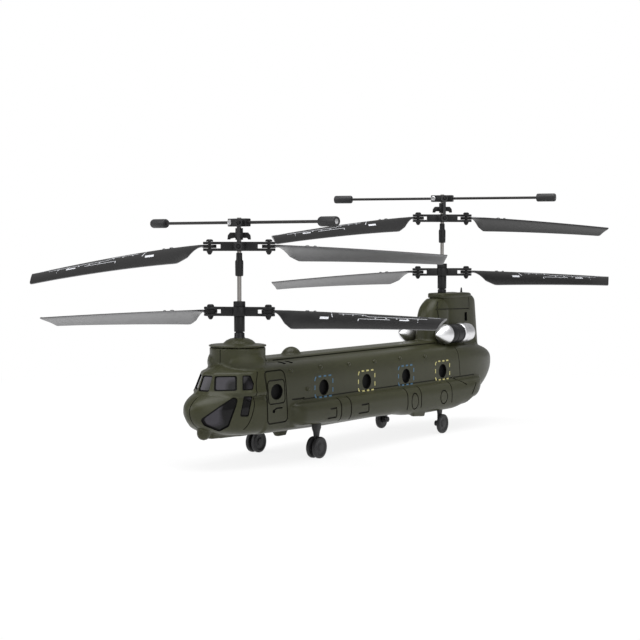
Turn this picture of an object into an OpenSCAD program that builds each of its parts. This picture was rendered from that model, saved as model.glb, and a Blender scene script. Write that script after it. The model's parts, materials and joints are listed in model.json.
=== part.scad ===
// Small flying model of a tandem-rotor transport helicopter.
// Two masts, each with two contra-rotating two-blade rotors and a weighted flybar.
// Nose towards -Y, port side towards +X, +Z up, wheels on the ground at z = 0.
// The origin is on the ground under the middle of the outline, rotors at rest included.

/* [Masts] */
// Distance between the front and the rear mast
mast_gap = 130; // [124:0.5:150]
// Height of the front lower rotor above the ground
front_lower_z = 49.8; // [48:0.1:56]
// Height from a lower rotor up to the upper rotor of the same mast
coax_gap = 21.1; // [19:0.1:26]
// How much higher the rear rotors sit than the front ones
rear_rise = 10.7; // [9:0.1:14]
// Height from an upper rotor up to its flybar
flybar_rise = 7.7; // [7.4:0.1:9]
// Diameter of the solid inner shafts
inner_shaft_d = 1.4; // [1.2:0.05:1.6]
// Outside diameter of the outer tube shafts
outer_shaft_d = 2.4; // [2.2:0.05:2.7]
// Height of the bare mast boss gap under a lower hub sleeve
boss_gap = 0.25; // [0.15:0.05:0.6]

/* [Rotors] */
// Rotor radius from the mast axis to the blade tip
rotor_r = 67.3; // [56:0.1:70]
// Widest chord of a blade
blade_chord = 14; // [11:0.1:16]
// Chord at the blade tip
tip_chord = 10.5; // [8:0.1:12]
// Thickness of a blade
blade_t = 0.9; // [0.6:0.05:1.2]
// Blade pitch near the root, in degrees
root_pitch = 22; // [14:1:26]
// Blade pitch at the tip, in degrees
tip_pitch = 17; // [8:1:22]
// Overall length of a hub bar
hub_span = 22.7; // [20:0.1:27]
// Height of a hub bar
hub_h = 3; // [2.6:0.1:3.4]
// Radius of the round grip at each end of a hub bar
grip_r = 1.75; // [1.6:0.05:2.1]
// Height of the slot in a grip that takes a blade root
fork_gap = 1.3; // [1:0.05:1.5]
// Diameter of the blade screws
blade_screw_d = 1; // [0.8:0.05:1.2]
// Diameter of the blade screw heads
blade_screw_head_d = 2.3; // [1.8:0.1:2.8]
// Length of the sleeve under a lower hub
hub_sleeve_l = 5.1; // [4:0.1:6]
// Diameter of the sleeve under a lower hub
hub_sleeve_d = 3.5; // [3.3:0.05:4]
// Length of the sleeve on the inner shaft under an upper hub
shaft_sleeve_l = 7.6; // [5:0.1:9]
// Diameter of the sleeve on the inner shaft
shaft_sleeve_d = 2.65; // [2.4:0.05:3.2]

/* [Flybars] */
// Half length of a flybar, mast axis to the end of a weight
flybar_r = 45; // [36:0.5:52]
// Length of a flybar hub
flybar_hub_l = 8.7; // [8:0.1:10]
// Height of a flybar hub
flybar_hub_h = 2.6; // [2.2:0.1:3]
// Diameter of the flybar wire
flybar_wire_d = 1; // [0.8:0.05:1.2]
// Length of a flybar weight
weight_l = 7.4; // [5:0.1:10]
// Diameter of a flybar weight
weight_d = 3.1; // [2.4:0.1:4]
// Distance of a flybar link from the mast axis
link_r = 4; // [3.8:0.05:4.6]
// Length of the cross collar between an upper hub and its flybar
collar_l = 7.6; // [6:0.1:9]

/* [Rest position] */
// Direction of the front upper blades, in degrees from +X
front_upper_turn = 34; // [20:1:60]
// Direction of the front lower blades, in degrees from +X
front_lower_turn = 25.4; // [0:0.1:60]
// Direction of the rear upper blades, in degrees from +X
rear_upper_turn = 42.2; // [20:0.1:60]
// Direction of the rear lower blades, in degrees from +X
rear_lower_turn = 39.9; // [0:0.1:60]
// Direction of the front flybar, in degrees from +X
front_flybar_turn = -11; // [-30:1:0]
// Direction of the rear flybar, in degrees from +X
rear_flybar_turn = 14; // [0:1:20]

/* [Body] */
// Width of the fuselage
body_w = 24.6; // [24:0.1:28]
// Height of the belly above the ground
belly_z = 9.5; // [9:0.1:9.8]
// Height of the roof above the ground
roof_z = 33; // [32.8:0.1:36]
// Wall thickness of the body halves
wall = 1.2; // [1:0.05:1.3]
// Distance from the front mast to the tip of the nose
nose_l = 25.2; // [22:0.1:27]
// Distance from the rear mast to the tip of the tail
tail_l = 32.6; // [31:0.1:40]
// Distance from the rear mast forward to the start of the tail ramp
ramp_lead = 4.5; // [0:0.5:5]
// Radius of the roof edges
roof_r = 6; // [4:0.1:6.5]
// Radius of the belly edges
belly_r = 4; // [3:0.1:5]
// How far a sponson stands out from the body side
sponson_out = 3.2; // [2.6:0.1:4.5]
// Height of a sponson
sponson_h = 9.3; // [8:0.1:11]
// Height of the front pylon rim above the ground
front_pylon_z = 38.4; // [38:0.1:40]
// Radius of the front pylon
front_pylon_r = 8.95; // [8:0.05:9.5]
// How far the front pylon is set ahead of its mast
front_pylon_lead = 1; // [0:0.1:1.5]
// Height of the rear pylon rim above the ground
rear_pylon_z = 51; // [48:0.1:52]
// Width of the rear pylon
rear_pylon_w = 10.4; // [10.2:0.1:11.5]
// Thickness of the pylon cap plates
cap_t = 1; // [0.8:0.1:1.4]
// Overhang of a pylon cap past its pylon
cap_lip = 0.4; // [0.2:0.1:0.8]
// Diameter of the cabin windows
window_d = 5.2; // [4:0.1:6]
// Spacing of the cabin windows
window_pitch = 26.4; // [24:0.1:30]

/* [Engines] */
// Diameter of an engine pod
engine_d = 7.4; // [6.4:0.1:7.6]
// Distance from the centre plane to an engine axis
engine_x = 8.3; // [8:0.05:8.5]
// Length of an intake cone
cone_l = 7.5; // [6:0.1:11]
// Length of an engine body
engine_l = 8; // [7:0.1:14]
// Length of an exhaust ring
exhaust_l = 7.4; // [5:0.1:9]

/* [Undercarriage] */
// Diameter of the wheels
wheel_d = 7.3; // [6:0.1:8]
// Thickness of a wheel
wheel_t = 1.4; // [1:0.1:1.7]
// Diameter of the wheel axles
axle_d = 1.2; // [1:0.05:1.6]
// Distance between the front and the rear wheels
wheel_base = 81.9; // [76:0.1:84]
// Distance from the middle between the masts forward to the front wheels
front_wheel_lead = 39.5; // [36:0.1:41]
// Distance from the centre plane to a front leg
front_leg_x = 12.7; // [12.3:0.1:13.2]
// Distance from the centre plane to a rear leg
rear_leg_x = 12.4; // [12:0.1:13]
// Thickness of a leg at the wheels
leg_t = 0.9; // [0.8:0.05:1.2]
// Width of a leg where it leaves the body
leg_w = 4.4; // [2.6:0.1:5]

/* [Drive] */
// Tooth module of the gears
gear_module = 0.3; // [0.29:0.005:0.31]
// Teeth on a main gear
main_teeth = 48; // [48]
// Teeth on a motor pinion
pinion_teeth = 9; // [9]
// Face width of a main gear
gear_w = 1.8; // [1.2:0.1:2]
// Diameter of a motor
motor_d = 6; // [5.6:0.1:6.4]
// Length of a motor
motor_l = 10; // [8:0.1:10.4]
// Diameter of a motor shaft
motor_shaft_d = 0.8; // [0.7:0.05:1]
// Thickness of the gear frame plates
frame_t = 1.3; // [1:0.1:1.5]
// Distance from the front mast back to the battery
battery_lead = 17.5; // [17:0.1:20]
// Length of the battery
battery_l = 32; // [26:0.5:34]
// Width of the battery
battery_w = 15; // [12:0.1:17]
// Height of the battery
battery_h = 6; // [5:0.1:6.5]
// Length of the circuit board
board_l = 62; // [50:0.5:66]
// Thickness of the circuit board
board_t = 0.8; // [0.6:0.1:1.2]
// Bore of the charge socket
jack_d = 2.5; // [2:0.1:3.5]
// Depth of the bore of the charge socket
jack_l = 6; // [5:0.1:6.5]
// Travel of the power switch
switch_travel = 2; // [1.5:0.1:3]
// Diameter of the body screws
body_screw_d = 1.6; // [1.4:0.1:2]

/* [Fits] */
// Radial clearance of a turning shaft in its bore
run_fit = 0.05; // [0.03:0.005:0.08]
// Radial clearance of pieces that are pushed together
push_fit = 0.02; // [0.01:0.005:0.04]
// Gap between fixed pieces that lie against each other
seat_gap = 0.1; // [0.05:0.05:0.2]

/* [Hidden] */
$fn = 48;

olive = [0.24, 0.25, 0.18];
black = [0.08, 0.08, 0.09];
charcoal = [0.2, 0.2, 0.22];
steel = [0.72, 0.73, 0.75];
chrome = [0.9, 0.9, 0.92];
brass = [0.78, 0.62, 0.3];
white = [0.9, 0.9, 0.88];

// Blade outline, from the grip screw outwards
blade_pivot_r = hub_span / 2 - grip_r;
blade_span = rotor_r - blade_pivot_r;
lead_edge = 2.2;
root_cut = 9.4;
neck_l = 2.2;
neck_w = 2.4;
eye_r = grip_r - 0.15;
eye_h = fork_gap - 2 * seat_gap;
bend = 1.3;

// How far each tip hangs below its hub, blade a and blade b
front_upper_droop = [3.2, 9.4];
front_lower_droop = [2.3, 2.9];
rear_upper_droop = [4.1, 7.4];
rear_lower_droop = [2.5, 4.2];

// The outline at rest is centred along Y between the outermost blade corners
tip_te = tip_chord * cos(tip_pitch) - lead_edge;
front_reach = rotor_r * sin(front_upper_turn) + tip_te * cos(front_upper_turn);
rear_reach = rotor_r * sin(rear_upper_turn) + tip_te * cos(rear_upper_turn);
mid_y = (front_reach - rear_reach) / 2;

function mast_y(rear) = mid_y + (rear ? 1 : -1) * mast_gap / 2;
function lower_z(rear) = front_lower_z + (rear ? rear_rise : 0);
function upper_z(rear) = lower_z(rear) + coax_gap;
function flybar_z(rear) = upper_z(rear) + flybar_rise;
function rotor_turn(rear, upper) = upper ? (rear ? rear_upper_turn : front_upper_turn)
                                         : (rear ? rear_lower_turn : front_lower_turn);
function flybar_turn(rear) = rear ? rear_flybar_turn : front_flybar_turn;
function link_turn(rear) = rotor_turn(rear, true) - 90;
function droop(rear, upper) = upper ? (rear ? rear_upper_droop : front_upper_droop)
                                    : (rear ? rear_lower_droop : front_lower_droop);

// Fuselage stations: place along the body, then half width, bottom and top as shares of the cabin,
// then how far the section has gone from the cabin's corners to a full oval.
// Nose and tail follow curves of a share that is 0 at the cabin and 1 at the tip.
body_h = roof_z - belly_z;
nose_y = mast_y(false) - nose_l;
tail_y = mast_y(true) + tail_l;
ramp_y = mast_y(true) - ramp_lead;
nose_mid = 0.417;
nose_rise = 0.353;
nose_step = 0.055;
tail_mid = 0.489;
tail_lift = 0.179;

function nose_station(s) = [
    nose_y + (1 - s) * nose_l,
    pow(1 - pow(s, 1.6), 0.52),
    nose_mid * (1 - sqrt(1 - pow(s, 2.6))),
    s > nose_step ? nose_mid + nose_rise * sqrt(1 - s * s) : 1,
    s * s
];

function tail_station(s) =
    let (mid = tail_mid + tail_lift * s)
    [ramp_y + s * (tail_y - ramp_y),
     sqrt(1 - pow(s, 2.3)),
     mid * (1 - pow(1 - pow(s, 1.5), 0.68)),
     mid + (1 - mid) * sqrt(1 - pow(s, 3)),
     s * s];

STATIONS = concat(
    [for (s = [1, 0.99, 0.96, 0.9, 0.82, 0.72, 0.6, 0.46, 0.32, 0.18, 0.06, 0.05]) nose_station(s)],
    [for (s = [0, 0.16, 0.32, 0.46, 0.6, 0.73, 0.84, 0.92, 0.975, 1]) tail_station(s)]
);
body_mid_y = (nose_y + tail_y) / 2;
body_half_l = (tail_y - nose_y) / 2;

function station_at(y) = [y, for (k = [1:4]) lookup(y, [for (s = STATIONS) [s[0], s[k]]])];
function side_x(y) = body_w / 2 * station_at(y)[1];
function bottom_z(y) = belly_z + body_h * station_at(y)[2];
function floor_z(y) = bottom_z(y) + wall;

// Windscreen corners at the sill, the brow and the roof, from the middle pane round to the cabin side:
// distance from the centre plane as a share of the half width, and distance ahead of the front mast
SCREEN = [
    [[0.195, 18.5], [0.75, 11.4], [0.91, 7.2], [0.99, 2.6], [0.99, -3]],
    [[0.18, 15.8], [0.634, 9.6], [0.82, 6.1], [0.9, 1.6], [0.89, -3]],
    [[0.1, 11], [0.325, 6.8], [0.49, 4.2], [0.62, 0], [0.6, -3]]
];
// How far each corner moves in and back where the panes move in by 1
SCREEN_IN = [[0.43, 1], [0.84, 0.58], [0.95, 0.3], [1, 0], [1, 0]];
sill_z = belly_z + 15.4;
brow_z = roof_z - 2.2;
sill_sink = 1.5;

function screen_xy(row, k, inset) =
    let (p = SCREEN[row][k], move = SCREEN_IN[k])
    [body_w / 2 * p[0] - inset * move[0], mast_y(false) - p[1] + inset * move[1]];

// Gear stack on each mast, from the floor up
inner_shaft_r = inner_shaft_d / 2;
outer_shaft_r = outer_shaft_d / 2;
main_r = gear_module * main_teeth / 2;
pinion_r = gear_module * pinion_teeth / 2;
addendum = 0.75 * gear_module;
dedendum = 1.15 * gear_module;
gear_backlash = 0.1;
gear_centres = main_r + pinion_r + gear_backlash;
motor_turn = 45;
motor_off = gear_centres * sin(motor_turn);
motor_z = belly_z + wall + 2 * seat_gap;
plate_z = motor_z + motor_l + seat_gap;
stack_gap = 0.6;
inner_gear_z = plate_z + frame_t + stack_gap;
collar_h = 0.6;
outer_gear_z = inner_gear_z + gear_w + collar_h + 2 * stack_gap;
top_plate_z = outer_gear_z + gear_w + collar_h + stack_gap / 2;
post_r = 0.9;
post_x = 7.8;
post_y = 4.2;
socket_t = 0.8;
socket_h = 5;
bush_r = 2;
bearing_r = 2.6;
pinion_over = 0.4;

// Head on the inner shaft
pin_r = 0.3;
hub_bore_r = inner_shaft_r + 0.45;
hub_core_r = 2.4;
tilt_room = 0.55;
collar_z = 2.9;
collar_t = 1.6;
ball_r = 0.5;
arm_past = 0.7;
eye_room = 0.3;

// Body fittings
boss_r = 2;
screw_head_r = body_screw_d / 2 + 0.7;
screw_head_h = 1;
screw_end_x = 7;
// Body screws: distance from the front mast, as a share of the mast gap, and height
SCREWS = [[0.135, 27.5], [0.47, 28], [0.855, 27.5], [1.12, 25]];
board_z = belly_z + wall + battery_h + 0.9;
board_w = body_w - 2 * wall - 2;
rail_t = 1;
battery_y = mast_y(false) + battery_lead;
jack_y = mid_y - 4;
jack_wall = 1.1;
switch_y = mid_y + 12;
switch_w = 1.8;
front_wheel_y = mid_y - front_wheel_lead;
rear_wheel_y = front_wheel_y + wheel_base;
axle_z = wheel_d / 2;
leg_sink = 2;
sponson_z = belly_z + 0.8 + sponson_h / 2;
sponson_in = 1.4;
sponson_front_y = mast_y(false) + 11;
sponson_rear_y = mast_y(true) + 11;
// Sponson stations: place along it, size as a share, and how much lower its bottom hangs
SPONSON = [
    [0, 0.35, -1], [0.024, 0.72, -0.6], [0.07, 1, -0.5], [0.43, 1, 0.2], [0.53, 1, 0.7], [0.59, 1, 2],
    [0.8, 1, 2.1], [0.865, 1, 1], [0.92, 0.95, 0], [0.96, 0.85, -2], [1, 0.5, -5]
];
hump_y = mast_y(false) + 29.3;
// Reach of the rear pylon's rim before and behind the mast
pylon_front = 4.6;
pylon_back = 22;
pod_z = roof_z + 4.5;
pod_y = mast_y(true) - 11.1;
// Pegs that join the three pieces of an engine pod
peg_r = 1.5;
peg_l = 2.5;

// Triangles of the wall between ring j and ring k, each of n points
function wall_faces(j, k, n) = [
    for (i = [0:n - 1], far = [0, 1])
        let (next = (i + 1) % n)
        far == 0 ? [j * n + i, j * n + next, k * n + i] : [j * n + next, k * n + next, k * n + i]
];

// A solid through equal closed rings of points, in order along the loft
module loft(rings) {
    n = len(rings[0]);
    last = len(rings) - 1;
    polyhedron(
        points = [for (r = rings) each r],
        faces = concat(
            [[for (i = [n - 1:-1:0]) i]],
            [for (k = [0:last - 1]) each wall_faces(k, k + 1, n)],
            [[for (i = [0:n - 1]) last * n + i]]
        )
    );
}

// Half of a rounded body section, from the bottom centre round the port side to the top centre
function half_section(y, w, zb, zt, rb, rt, past) = concat(
    [[-past, y, zb]],
    [for (i = [0:6]) [w - rb + rb * sin(i * 15), y, zb + rb - rb * cos(i * 15)]],
    [for (i = [0:7]) [w - rt + rt * cos(i * 90 / 7), y, zt - rt + rt * sin(i * 90 / 7)]],
    [[-past, y, zt]]
);

function body_ring(s, inset, past) =
    let (y = body_mid_y + (s[0] - body_mid_y) * (body_half_l - inset) / body_half_l,
         w = max(body_w / 2 * s[1] - inset, 0.3),
         middle = (s[2] + s[3]) / 2,
         zb = min(belly_z + body_h * s[2] + inset, belly_z + body_h * middle - 0.3),
         zt = max(belly_z + body_h * s[3] - inset, belly_z + body_h * middle + 0.3),
         oval = 0.9 * min(w, (zt - zb) / 2),
         rb = min(oval, max(belly_r - inset, 0.5) * (1 - s[4]) + oval * s[4]),
         rt = min(oval, max(roof_r - inset, 0.5) * (1 - s[4]) + oval * s[4]))
    half_section(y, w, zb, zt, rb, rt, past);

module body_loft(inset, past) {
    loft([for (s = STATIONS) body_ring(s, inset, past)]);
}

// Both sides of a body section
function full_ring(s, inset) =
    let (half = [for (p = body_ring(s, inset, 0)) if (p[0] > 0) p])
    concat(half, [for (i = [len(half) - 1:-1:0]) [-half[i][0], half[i][1], half[i][2]]]);

// Bar with round ends standing on z = 0, from y0 to y1
module slab(y0, r0, y1, r1, h) {
    hull() {
        translate([0, y0 + r0, 0]) cylinder(r = r0, h = h, $fn = 32);
        translate([0, y1 - r1, 0]) cylinder(r = r1, h = h, $fn = 32);
    }
}

// Rounded plate seen along +X, from its corner points, pushed into the side of the body
module side_panel(corners, r, x0, depth) {
    hull()
        for (c = corners)
            translate([x0, c[0], c[1]]) rotate([0, 90, 0]) cylinder(r = r, h = depth, $fn = 16);
}

// The same, seen square on to the slanted pane at the corner of the windscreen
module corner_panel(circles) {
    a = screen_xy(0, 0, 0);
    b = screen_xy(0, 1, 0);
    inside = 3;
    deep = 10;
    translate((a + b) / 2)
        rotate(atan2(b[1] - a[1], b[0] - a[0]) - 90)
            hull()
                for (c = circles)
                    translate([-inside, c[0], c[1]]) rotate([0, 90, 0]) cylinder(r = c[2], h = deep, $fn = 20);
}

// Cockpit openings on the port side: middle, corner and side panes, chin pane and lower side pane
module cockpit_openings() {
    fy = mast_y(false);
    post = 0.5;
    r = 0.6;
    z1 = sill_z + post + r;
    z2 = brow_z - post - r;
    middle = screen_xy(0, 0, 0)[0] - post - r;
    reach = norm(screen_xy(0, 1, 0) - screen_xy(0, 0, 0)) / 2 - post - r;
    hull()
        for (p = [[-1, z1], [middle, z1], [0.85 * middle, z2], [-1, z2]])
            translate([p[0], nose_y, p[1]])
                rotate([-90, 0, 0]) cylinder(r = r, h = nose_l / 2, $fn = 16);
    corner_panel([[-reach, z1, r], [reach, z1, r], [0.93 * reach, z2, r], [-0.93 * reach, z2, r]]);
    corner_panel([[-5.9, belly_z + 6.7, 1.9], [-0.9, belly_z + 5.9, 2.3], [2.7, belly_z + 12.9, 0.9]]);
    side_panel([[fy - 10.2, z1], [fy - 7.2, z1], [fy - 8, z2 - 1], [fy - 9.4, z2]], r, 6, 8);
    side_panel([[fy - 10.9, belly_z + 8.7], [fy - 8.3, belly_z + 8.7], [fy - 7.9, belly_z + 13.3],
        [fy - 10.6, belly_z + 13.4]], r, 6, 8);
}

// Flat-sided block of the windscreen, standing on the round nose in front of the cabin
module screen_block(inset) {
    rows = [[sill_z - sill_sink, 0], [sill_z, 0], [brow_z - inset / 4, 1], [roof_z - inset, 2]];
    loft([for (r = rows)
        let (port = [for (k = [0:4]) [each screen_xy(r[1], k, inset), r[0]]])
        concat([for (k = [4:-1:0]) port[k]], [for (p = port) [-p[0], p[1], p[2]]])]);
}

module front_pylon(inset) {
    fy = mast_y(false);
    top = inset > 0 ? front_pylon_z + 1 : front_pylon_z;
    r = front_pylon_r - inset;
    translate([0, fy - front_pylon_lead, roof_z - 5])
        hull() {
            cylinder(r = r + 0.5, h = 4, $fn = 40);
            cylinder(r = r, h = top - roof_z + 5, $fn = 40);
        }
}

module rear_pylon(inset) {
    ry = mast_y(true);
    hw = rear_pylon_w / 2 - inset;
    top = inset > 0 ? rear_pylon_z + 1 : rear_pylon_z;
    base = roof_z - 5;
    hull() {
        translate([0, 0, base])
            slab(ry - pylon_front - 1.4 + inset, hw, ry + pylon_back + 3 - inset, hw - 1.2, 6);
        translate([0, 0, top - 3])
            slab(ry - pylon_front + inset, hw - 0.4, ry + pylon_back - inset, hw - 1.6, 3);
    }
    if (inset == 0)
        hull() {
            translate([0, 0, base]) slab(ry - 15.5, hw - 0.3, ry, hw - 0.3, 7);
            translate([0, 0, rear_pylon_z - 8]) slab(ry - 12.6, hw - 0.5, ry, hw - 0.5, 2);
            translate([0, 0, rear_pylon_z - 2.4]) slab(ry - 8.6, hw - 1.2, ry, hw - 1, 1);
        }
}

// Fuel pod along the body side between two shares of its length
module sponson_section(from, to, grow) {
    rx = sponson_out + sponson_in + grow;
    rz = sponson_h / 2 + grow;
    inside = [for (r = SPONSON) if (r[0] > from && r[0] < to) r[0]];
    loft([for (share = concat([from], inside, [to]))
        let (y = sponson_front_y + share * (sponson_rear_y - sponson_front_y),
             size = lookup(share, [for (r = SPONSON) [r[0], r[1]]]),
             drop = lookup(share, [for (r = SPONSON) [r[0], r[2]]]))
        concat(
            [for (a = [-90:15:90])
                [body_w / 2 - sponson_in + rx * size * pow(cos(a), 0.7),
                 y,
                 sponson_z + rz * (0.4 + 0.6 * size) * sin(a) + drop * min(sin(a), 0)]],
            [for (side = [1, -1]) [body_w / 2 - 3, y, sponson_z + side * rz * 0.3]]
        )]);
}

// The whole pod, with its strap bands
module sponson() {
    band = 0.007;
    sponson_section(0, 1, 0);
    for (share = [0.195, 0.24, 0.53, 0.6, 0.775])
        sponson_section(share - band, share + band, 0.3);
}

module roof_spine() {
    y0 = mast_y(false) + front_pylon_r - front_pylon_lead - 1;
    y1 = mast_y(true) - 12;
    hull()
        for (y = [y0, y1])
            translate([0, y, roof_z - 1])
                rotate([90, 0, 0])
                    linear_extrude(height = 0.5)
                        polygon([[0, 0], [5.6, 0], [4.6, 1.7], [0, 2]]);
    translate([0, hump_y, roof_z])
        scale([4.4, 5.3, 3.5]) sphere(r = 1, $fn = 24);
}

// Saddle beside the rear pylon that an engine lies on
module engine_saddle() {
    edge = 0.6;
    hull()
        for (y = [pod_y + 1, pod_y + engine_l + 0.6 * exhaust_l])
            translate([0, y, roof_z - 1])
                rotate([90, 0, 0])
                    linear_extrude(height = edge)
                        polygon([[0, 0], [engine_x + edge, 0], [engine_x - edge, 2.6], [0, 3.6]]);
}

// Box under the nose, keel strip behind it and the foot under the front floor
module belly_parts() {
    chin_y = nose_y + 4.7;
    chin_l = 5.4;
    chin_w = 3.2;
    keel_w = 2.8;
    foot_x = 4.2;
    foot_y = mast_y(false) + 16.6;
    foot_drop = 1.1;
    translate([0, chin_y, belly_z + 0.5]) cube([chin_w / 2, chin_l, 4]);
    translate([0, chin_y + chin_l - 1, belly_z]) cube([keel_w / 2, 16, 2]);
    translate([foot_x, foot_y, belly_z - foot_drop])
        hull() {
            translate([0, 0, foot_drop]) cube([2.4, 7.6, 1], center = true);
            translate([0, 0.4, 0.25]) cube([1.8, 5.6, 0.5], center = true);
        }
}

// Swelling on the side of the front pylon
module pylon_swelling() {
    translate([5.7, mast_y(false) - front_pylon_lead - 4, roof_z - 1])
        rotate(-35) scale([2.5, 5.8, 4.8]) sphere(r = 1, $fn = 20);
}

module body_outside() {
    body_loft(0, 0);
    intersection() {
        union() {
            screen_block(0);
            front_pylon(0);
            pylon_swelling();
            rear_pylon(0);
            roof_spine();
            engine_saddle();
        }
        translate([0, nose_y, 0]) cube([body_w, tail_y - nose_y, rear_pylon_z + 1]);
    }
    sponson();
    belly_parts();
}

module window_pockets() {
    deep = 0.8;
    for (i = [0:3])
        translate([body_w / 2 - deep, mid_y - 34.5 + i * window_pitch, belly_z + 13.9])
            rotate([0, 90, 0]) cylinder(d = window_d, h = deep + 1, $fn = 24);
    // Crew door panel with its own window
    y = mast_y(false) + 4.3;
    z = belly_z + 14.2;
    side_panel([[y - 2.6, z - 3.4], [y + 2.6, z - 3.4], [y + 2.6, z + 3.4], [y - 2.6, z + 3.4]],
        1.2, body_w / 2 - 0.35, 2);
    translate([body_w / 2 - deep - 0.2, y, z])
        rotate([0, 90, 0]) cylinder(d = window_d - 0.6, h = 2, $fn = 24);
}

module leg_blank(rear, grow) {
    x = rear ? rear_leg_x : front_leg_x;
    y = rear ? rear_wheel_y : front_wheel_y;
    top = sponson_z - sponson_h / 2 + leg_sink;
    taper_z = top - leg_sink - 0.5;
    w0 = leg_w / 2 + grow;
    w1 = leg_w * 0.3 + grow;
    translate([x - leg_t / 2 - grow, y, 0])
        rotate([90, 0, 90])
            linear_extrude(height = leg_t + 2 * grow)
                polygon([[-w1, axle_z], [w1, axle_z], [w0, taper_z], [w0, top + grow], [-w0, top + grow],
                    [-w0, taper_z]]);
}

// Everything that passes through or into the belly and roof
module body_cuts() {
    leg_blank(false, seat_gap);
    leg_blank(true, seat_gap);
    translate([0, jack_y, 0]) cylinder(r = jack_d / 2 + jack_wall + seat_gap, h = belly_z + 4, $fn = 32);
    translate([-1, switch_y - switch_w / 2 - seat_gap, 0])
        cube([1 + switch_w / 2 + seat_gap, switch_w + switch_travel + 2 * seat_gap, belly_z + 4]);
    translate([engine_x, pod_y - cone_l / 2, pod_z])
        rotate([-90, 0, 0])
            cylinder(d = engine_d + 2 * seat_gap, h = cone_l / 2 + engine_l + exhaust_l + 1, $fn = 32);
}

module body_bosses() {
    for (s = SCREWS)
        let (y = mast_y(false) + s[0] * mast_gap)
            translate([0, y, s[1]])
                rotate([0, 90, 0]) cylinder(r = boss_r, h = side_x(y) - wall / 2, $fn = 20);
    // Rails that the circuit board lies on
    translate([board_w / 2 - 0.8, battery_y, board_z - rail_t - seat_gap])
        cube([body_w / 2 - board_w / 2 + 0.4 - wall / 2, board_l, rail_t]);
}

module body_half(bore_r, head) {
    difference() {
        union() {
            difference() {
                body_outside();
                body_loft(wall, 1);
                screen_block(wall);
                front_pylon(wall);
                rear_pylon(wall);
            }
            body_bosses();
        }
        translate([-1, nose_y - 1, 0]) cube([1 + seat_gap / 2, tail_y - nose_y + 2, rear_pylon_z + 2]);
        cockpit_openings();
        window_pockets();
        body_cuts();
        for (s = SCREWS)
            let (y = mast_y(false) + s[0] * mast_gap)
                translate([0, y, s[1]])
                    rotate([0, 90, 0]) {
                        translate([0, 0, -1])
                            cylinder(r = bore_r, h = head ? body_w : screw_end_x + 1.5, $fn = 20);
                        if (head)
                            translate([0, 0, side_x(y) - 2 * screw_head_h])
                                cylinder(r = screw_head_r + seat_gap, h = 4, $fn = 20);
                    }
    }
}

module left_body_half() {
    color(olive) body_half(body_screw_d / 2 + seat_gap, false);
}

module right_body_half() {
    color(olive) mirror([1, 0, 0]) body_half(body_screw_d / 2 + seat_gap, true);
}

module body_screws() {
    color(steel)
        for (s = SCREWS)
            let (y = mast_y(false) + s[0] * mast_gap, head_x = side_x(y) - 2 * screw_head_h + seat_gap)
                translate([-head_x, y, s[1]])
                    rotate([0, 90, 0]) {
                        translate([0, 0, -screw_head_h]) cylinder(r = screw_head_r, h = screw_head_h);
                        translate([0, 0, -0.01]) cylinder(d = body_screw_d, h = head_x + screw_end_x);
                    }
}

// Inside of the nose and the windscreen up to the brow, at an inset from the outside
module cockpit_skin(inset, stations) {
    back_y = full_ring(stations[len(stations) - 1], inset)[0][1];
    loft([for (s = stations) full_ring(s, inset)]);
    intersection() {
        screen_block(inset);
        translate([-body_w, nose_y, 0]) cube([2 * body_w, back_y - nose_y, brow_z - 3 * seat_gap]);
    }
}

// Dark liner close behind the cockpit openings, open behind and above
module cockpit_glazing() {
    liner = wall + seat_gap;
    pane_t = 0.8;
    least = 0.6;
    end_y = mast_y(false) - 7.4;
    nose = [for (s = STATIONS) if (s[0] < end_y && body_w / 2 * s[1] > liner + pane_t + least) s];
    stations = concat(nose, [station_at(end_y)]);
    color(black)
        difference() {
            cockpit_skin(liner, stations);
            cockpit_skin(liner + pane_t, stations);
        }
}

// Round plate on the front pylon, with a coned middle and the mast boss
module front_pylon_cap() {
    z = front_pylon_z + seat_gap;
    boss_top = lower_z(false) - hub_h / 2 - hub_sleeve_l - boss_gap;
    rim = front_pylon_r + cap_lip;
    boss = hub_sleeve_d / 2 - 0.1;
    color(olive)
        translate([0, mast_y(false), z])
            difference() {
                union() {
                    translate([0, -front_pylon_lead, 0])
                        rotate_extrude()
                            polygon([[0, 0], [rim - 0.3, 0], [rim, 0.3], [rim, cap_t - 0.2],
                                [0, cap_t + 0.2]]);
                    rotate_extrude()
                        polygon([[0, 0], [5, 0], [5, cap_t], [4.6, cap_t + 0.6], [boss, cap_t + 1.3],
                            [boss, boss_top - z], [0, boss_top - z]]);
                }
                translate([0, 0, -1]) cylinder(r = outer_shaft_r + run_fit, h = boss_top - z + 2);
            }
}

// Long plate on the rear pylon, with the mast boss and the short spike behind it
module rear_pylon_cap() {
    z = rear_pylon_z + seat_gap;
    ry = mast_y(true);
    boss_top = lower_z(true) - hub_h / 2 - hub_sleeve_l - boss_gap;
    hw = rear_pylon_w / 2 - 0.4 + cap_lip;
    end_r = hw - 1.2;
    front_y = hw - pylon_front - cap_lip;
    end_y = pylon_back - end_r + cap_lip;
    color(olive)
        translate([0, ry, 0])
            difference() {
                union() {
                    translate([0, front_y, z]) cylinder(r = hw, h = cap_t);
                    translate([0, end_y, z]) cylinder(r = end_r, h = cap_t);
                    translate([0, 0, z])
                        linear_extrude(height = cap_t)
                            polygon([[-hw, front_y], [hw, front_y], [end_r, end_y], [-end_r, end_y]]);
                    translate([0, 0, z]) cylinder(d = hub_sleeve_d - 0.2, h = boss_top - z);
                    translate([0, 15.4, z]) cylinder(r1 = 0.5, r2 = 0.25, h = cap_t + 1.9);
                }
                translate([0, 0, z - 1]) cylinder(r = outer_shaft_r + run_fit, h = boss_top - z + 2);
            }
}

// Profile turned round an engine axis that runs aft from the intake
module pod_turned(profile) {
    for (side = [-1, 1])
        translate([side * engine_x, pod_y, pod_z])
            rotate([-90, 0, 0]) rotate_extrude() polygon(profile);
}

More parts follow.
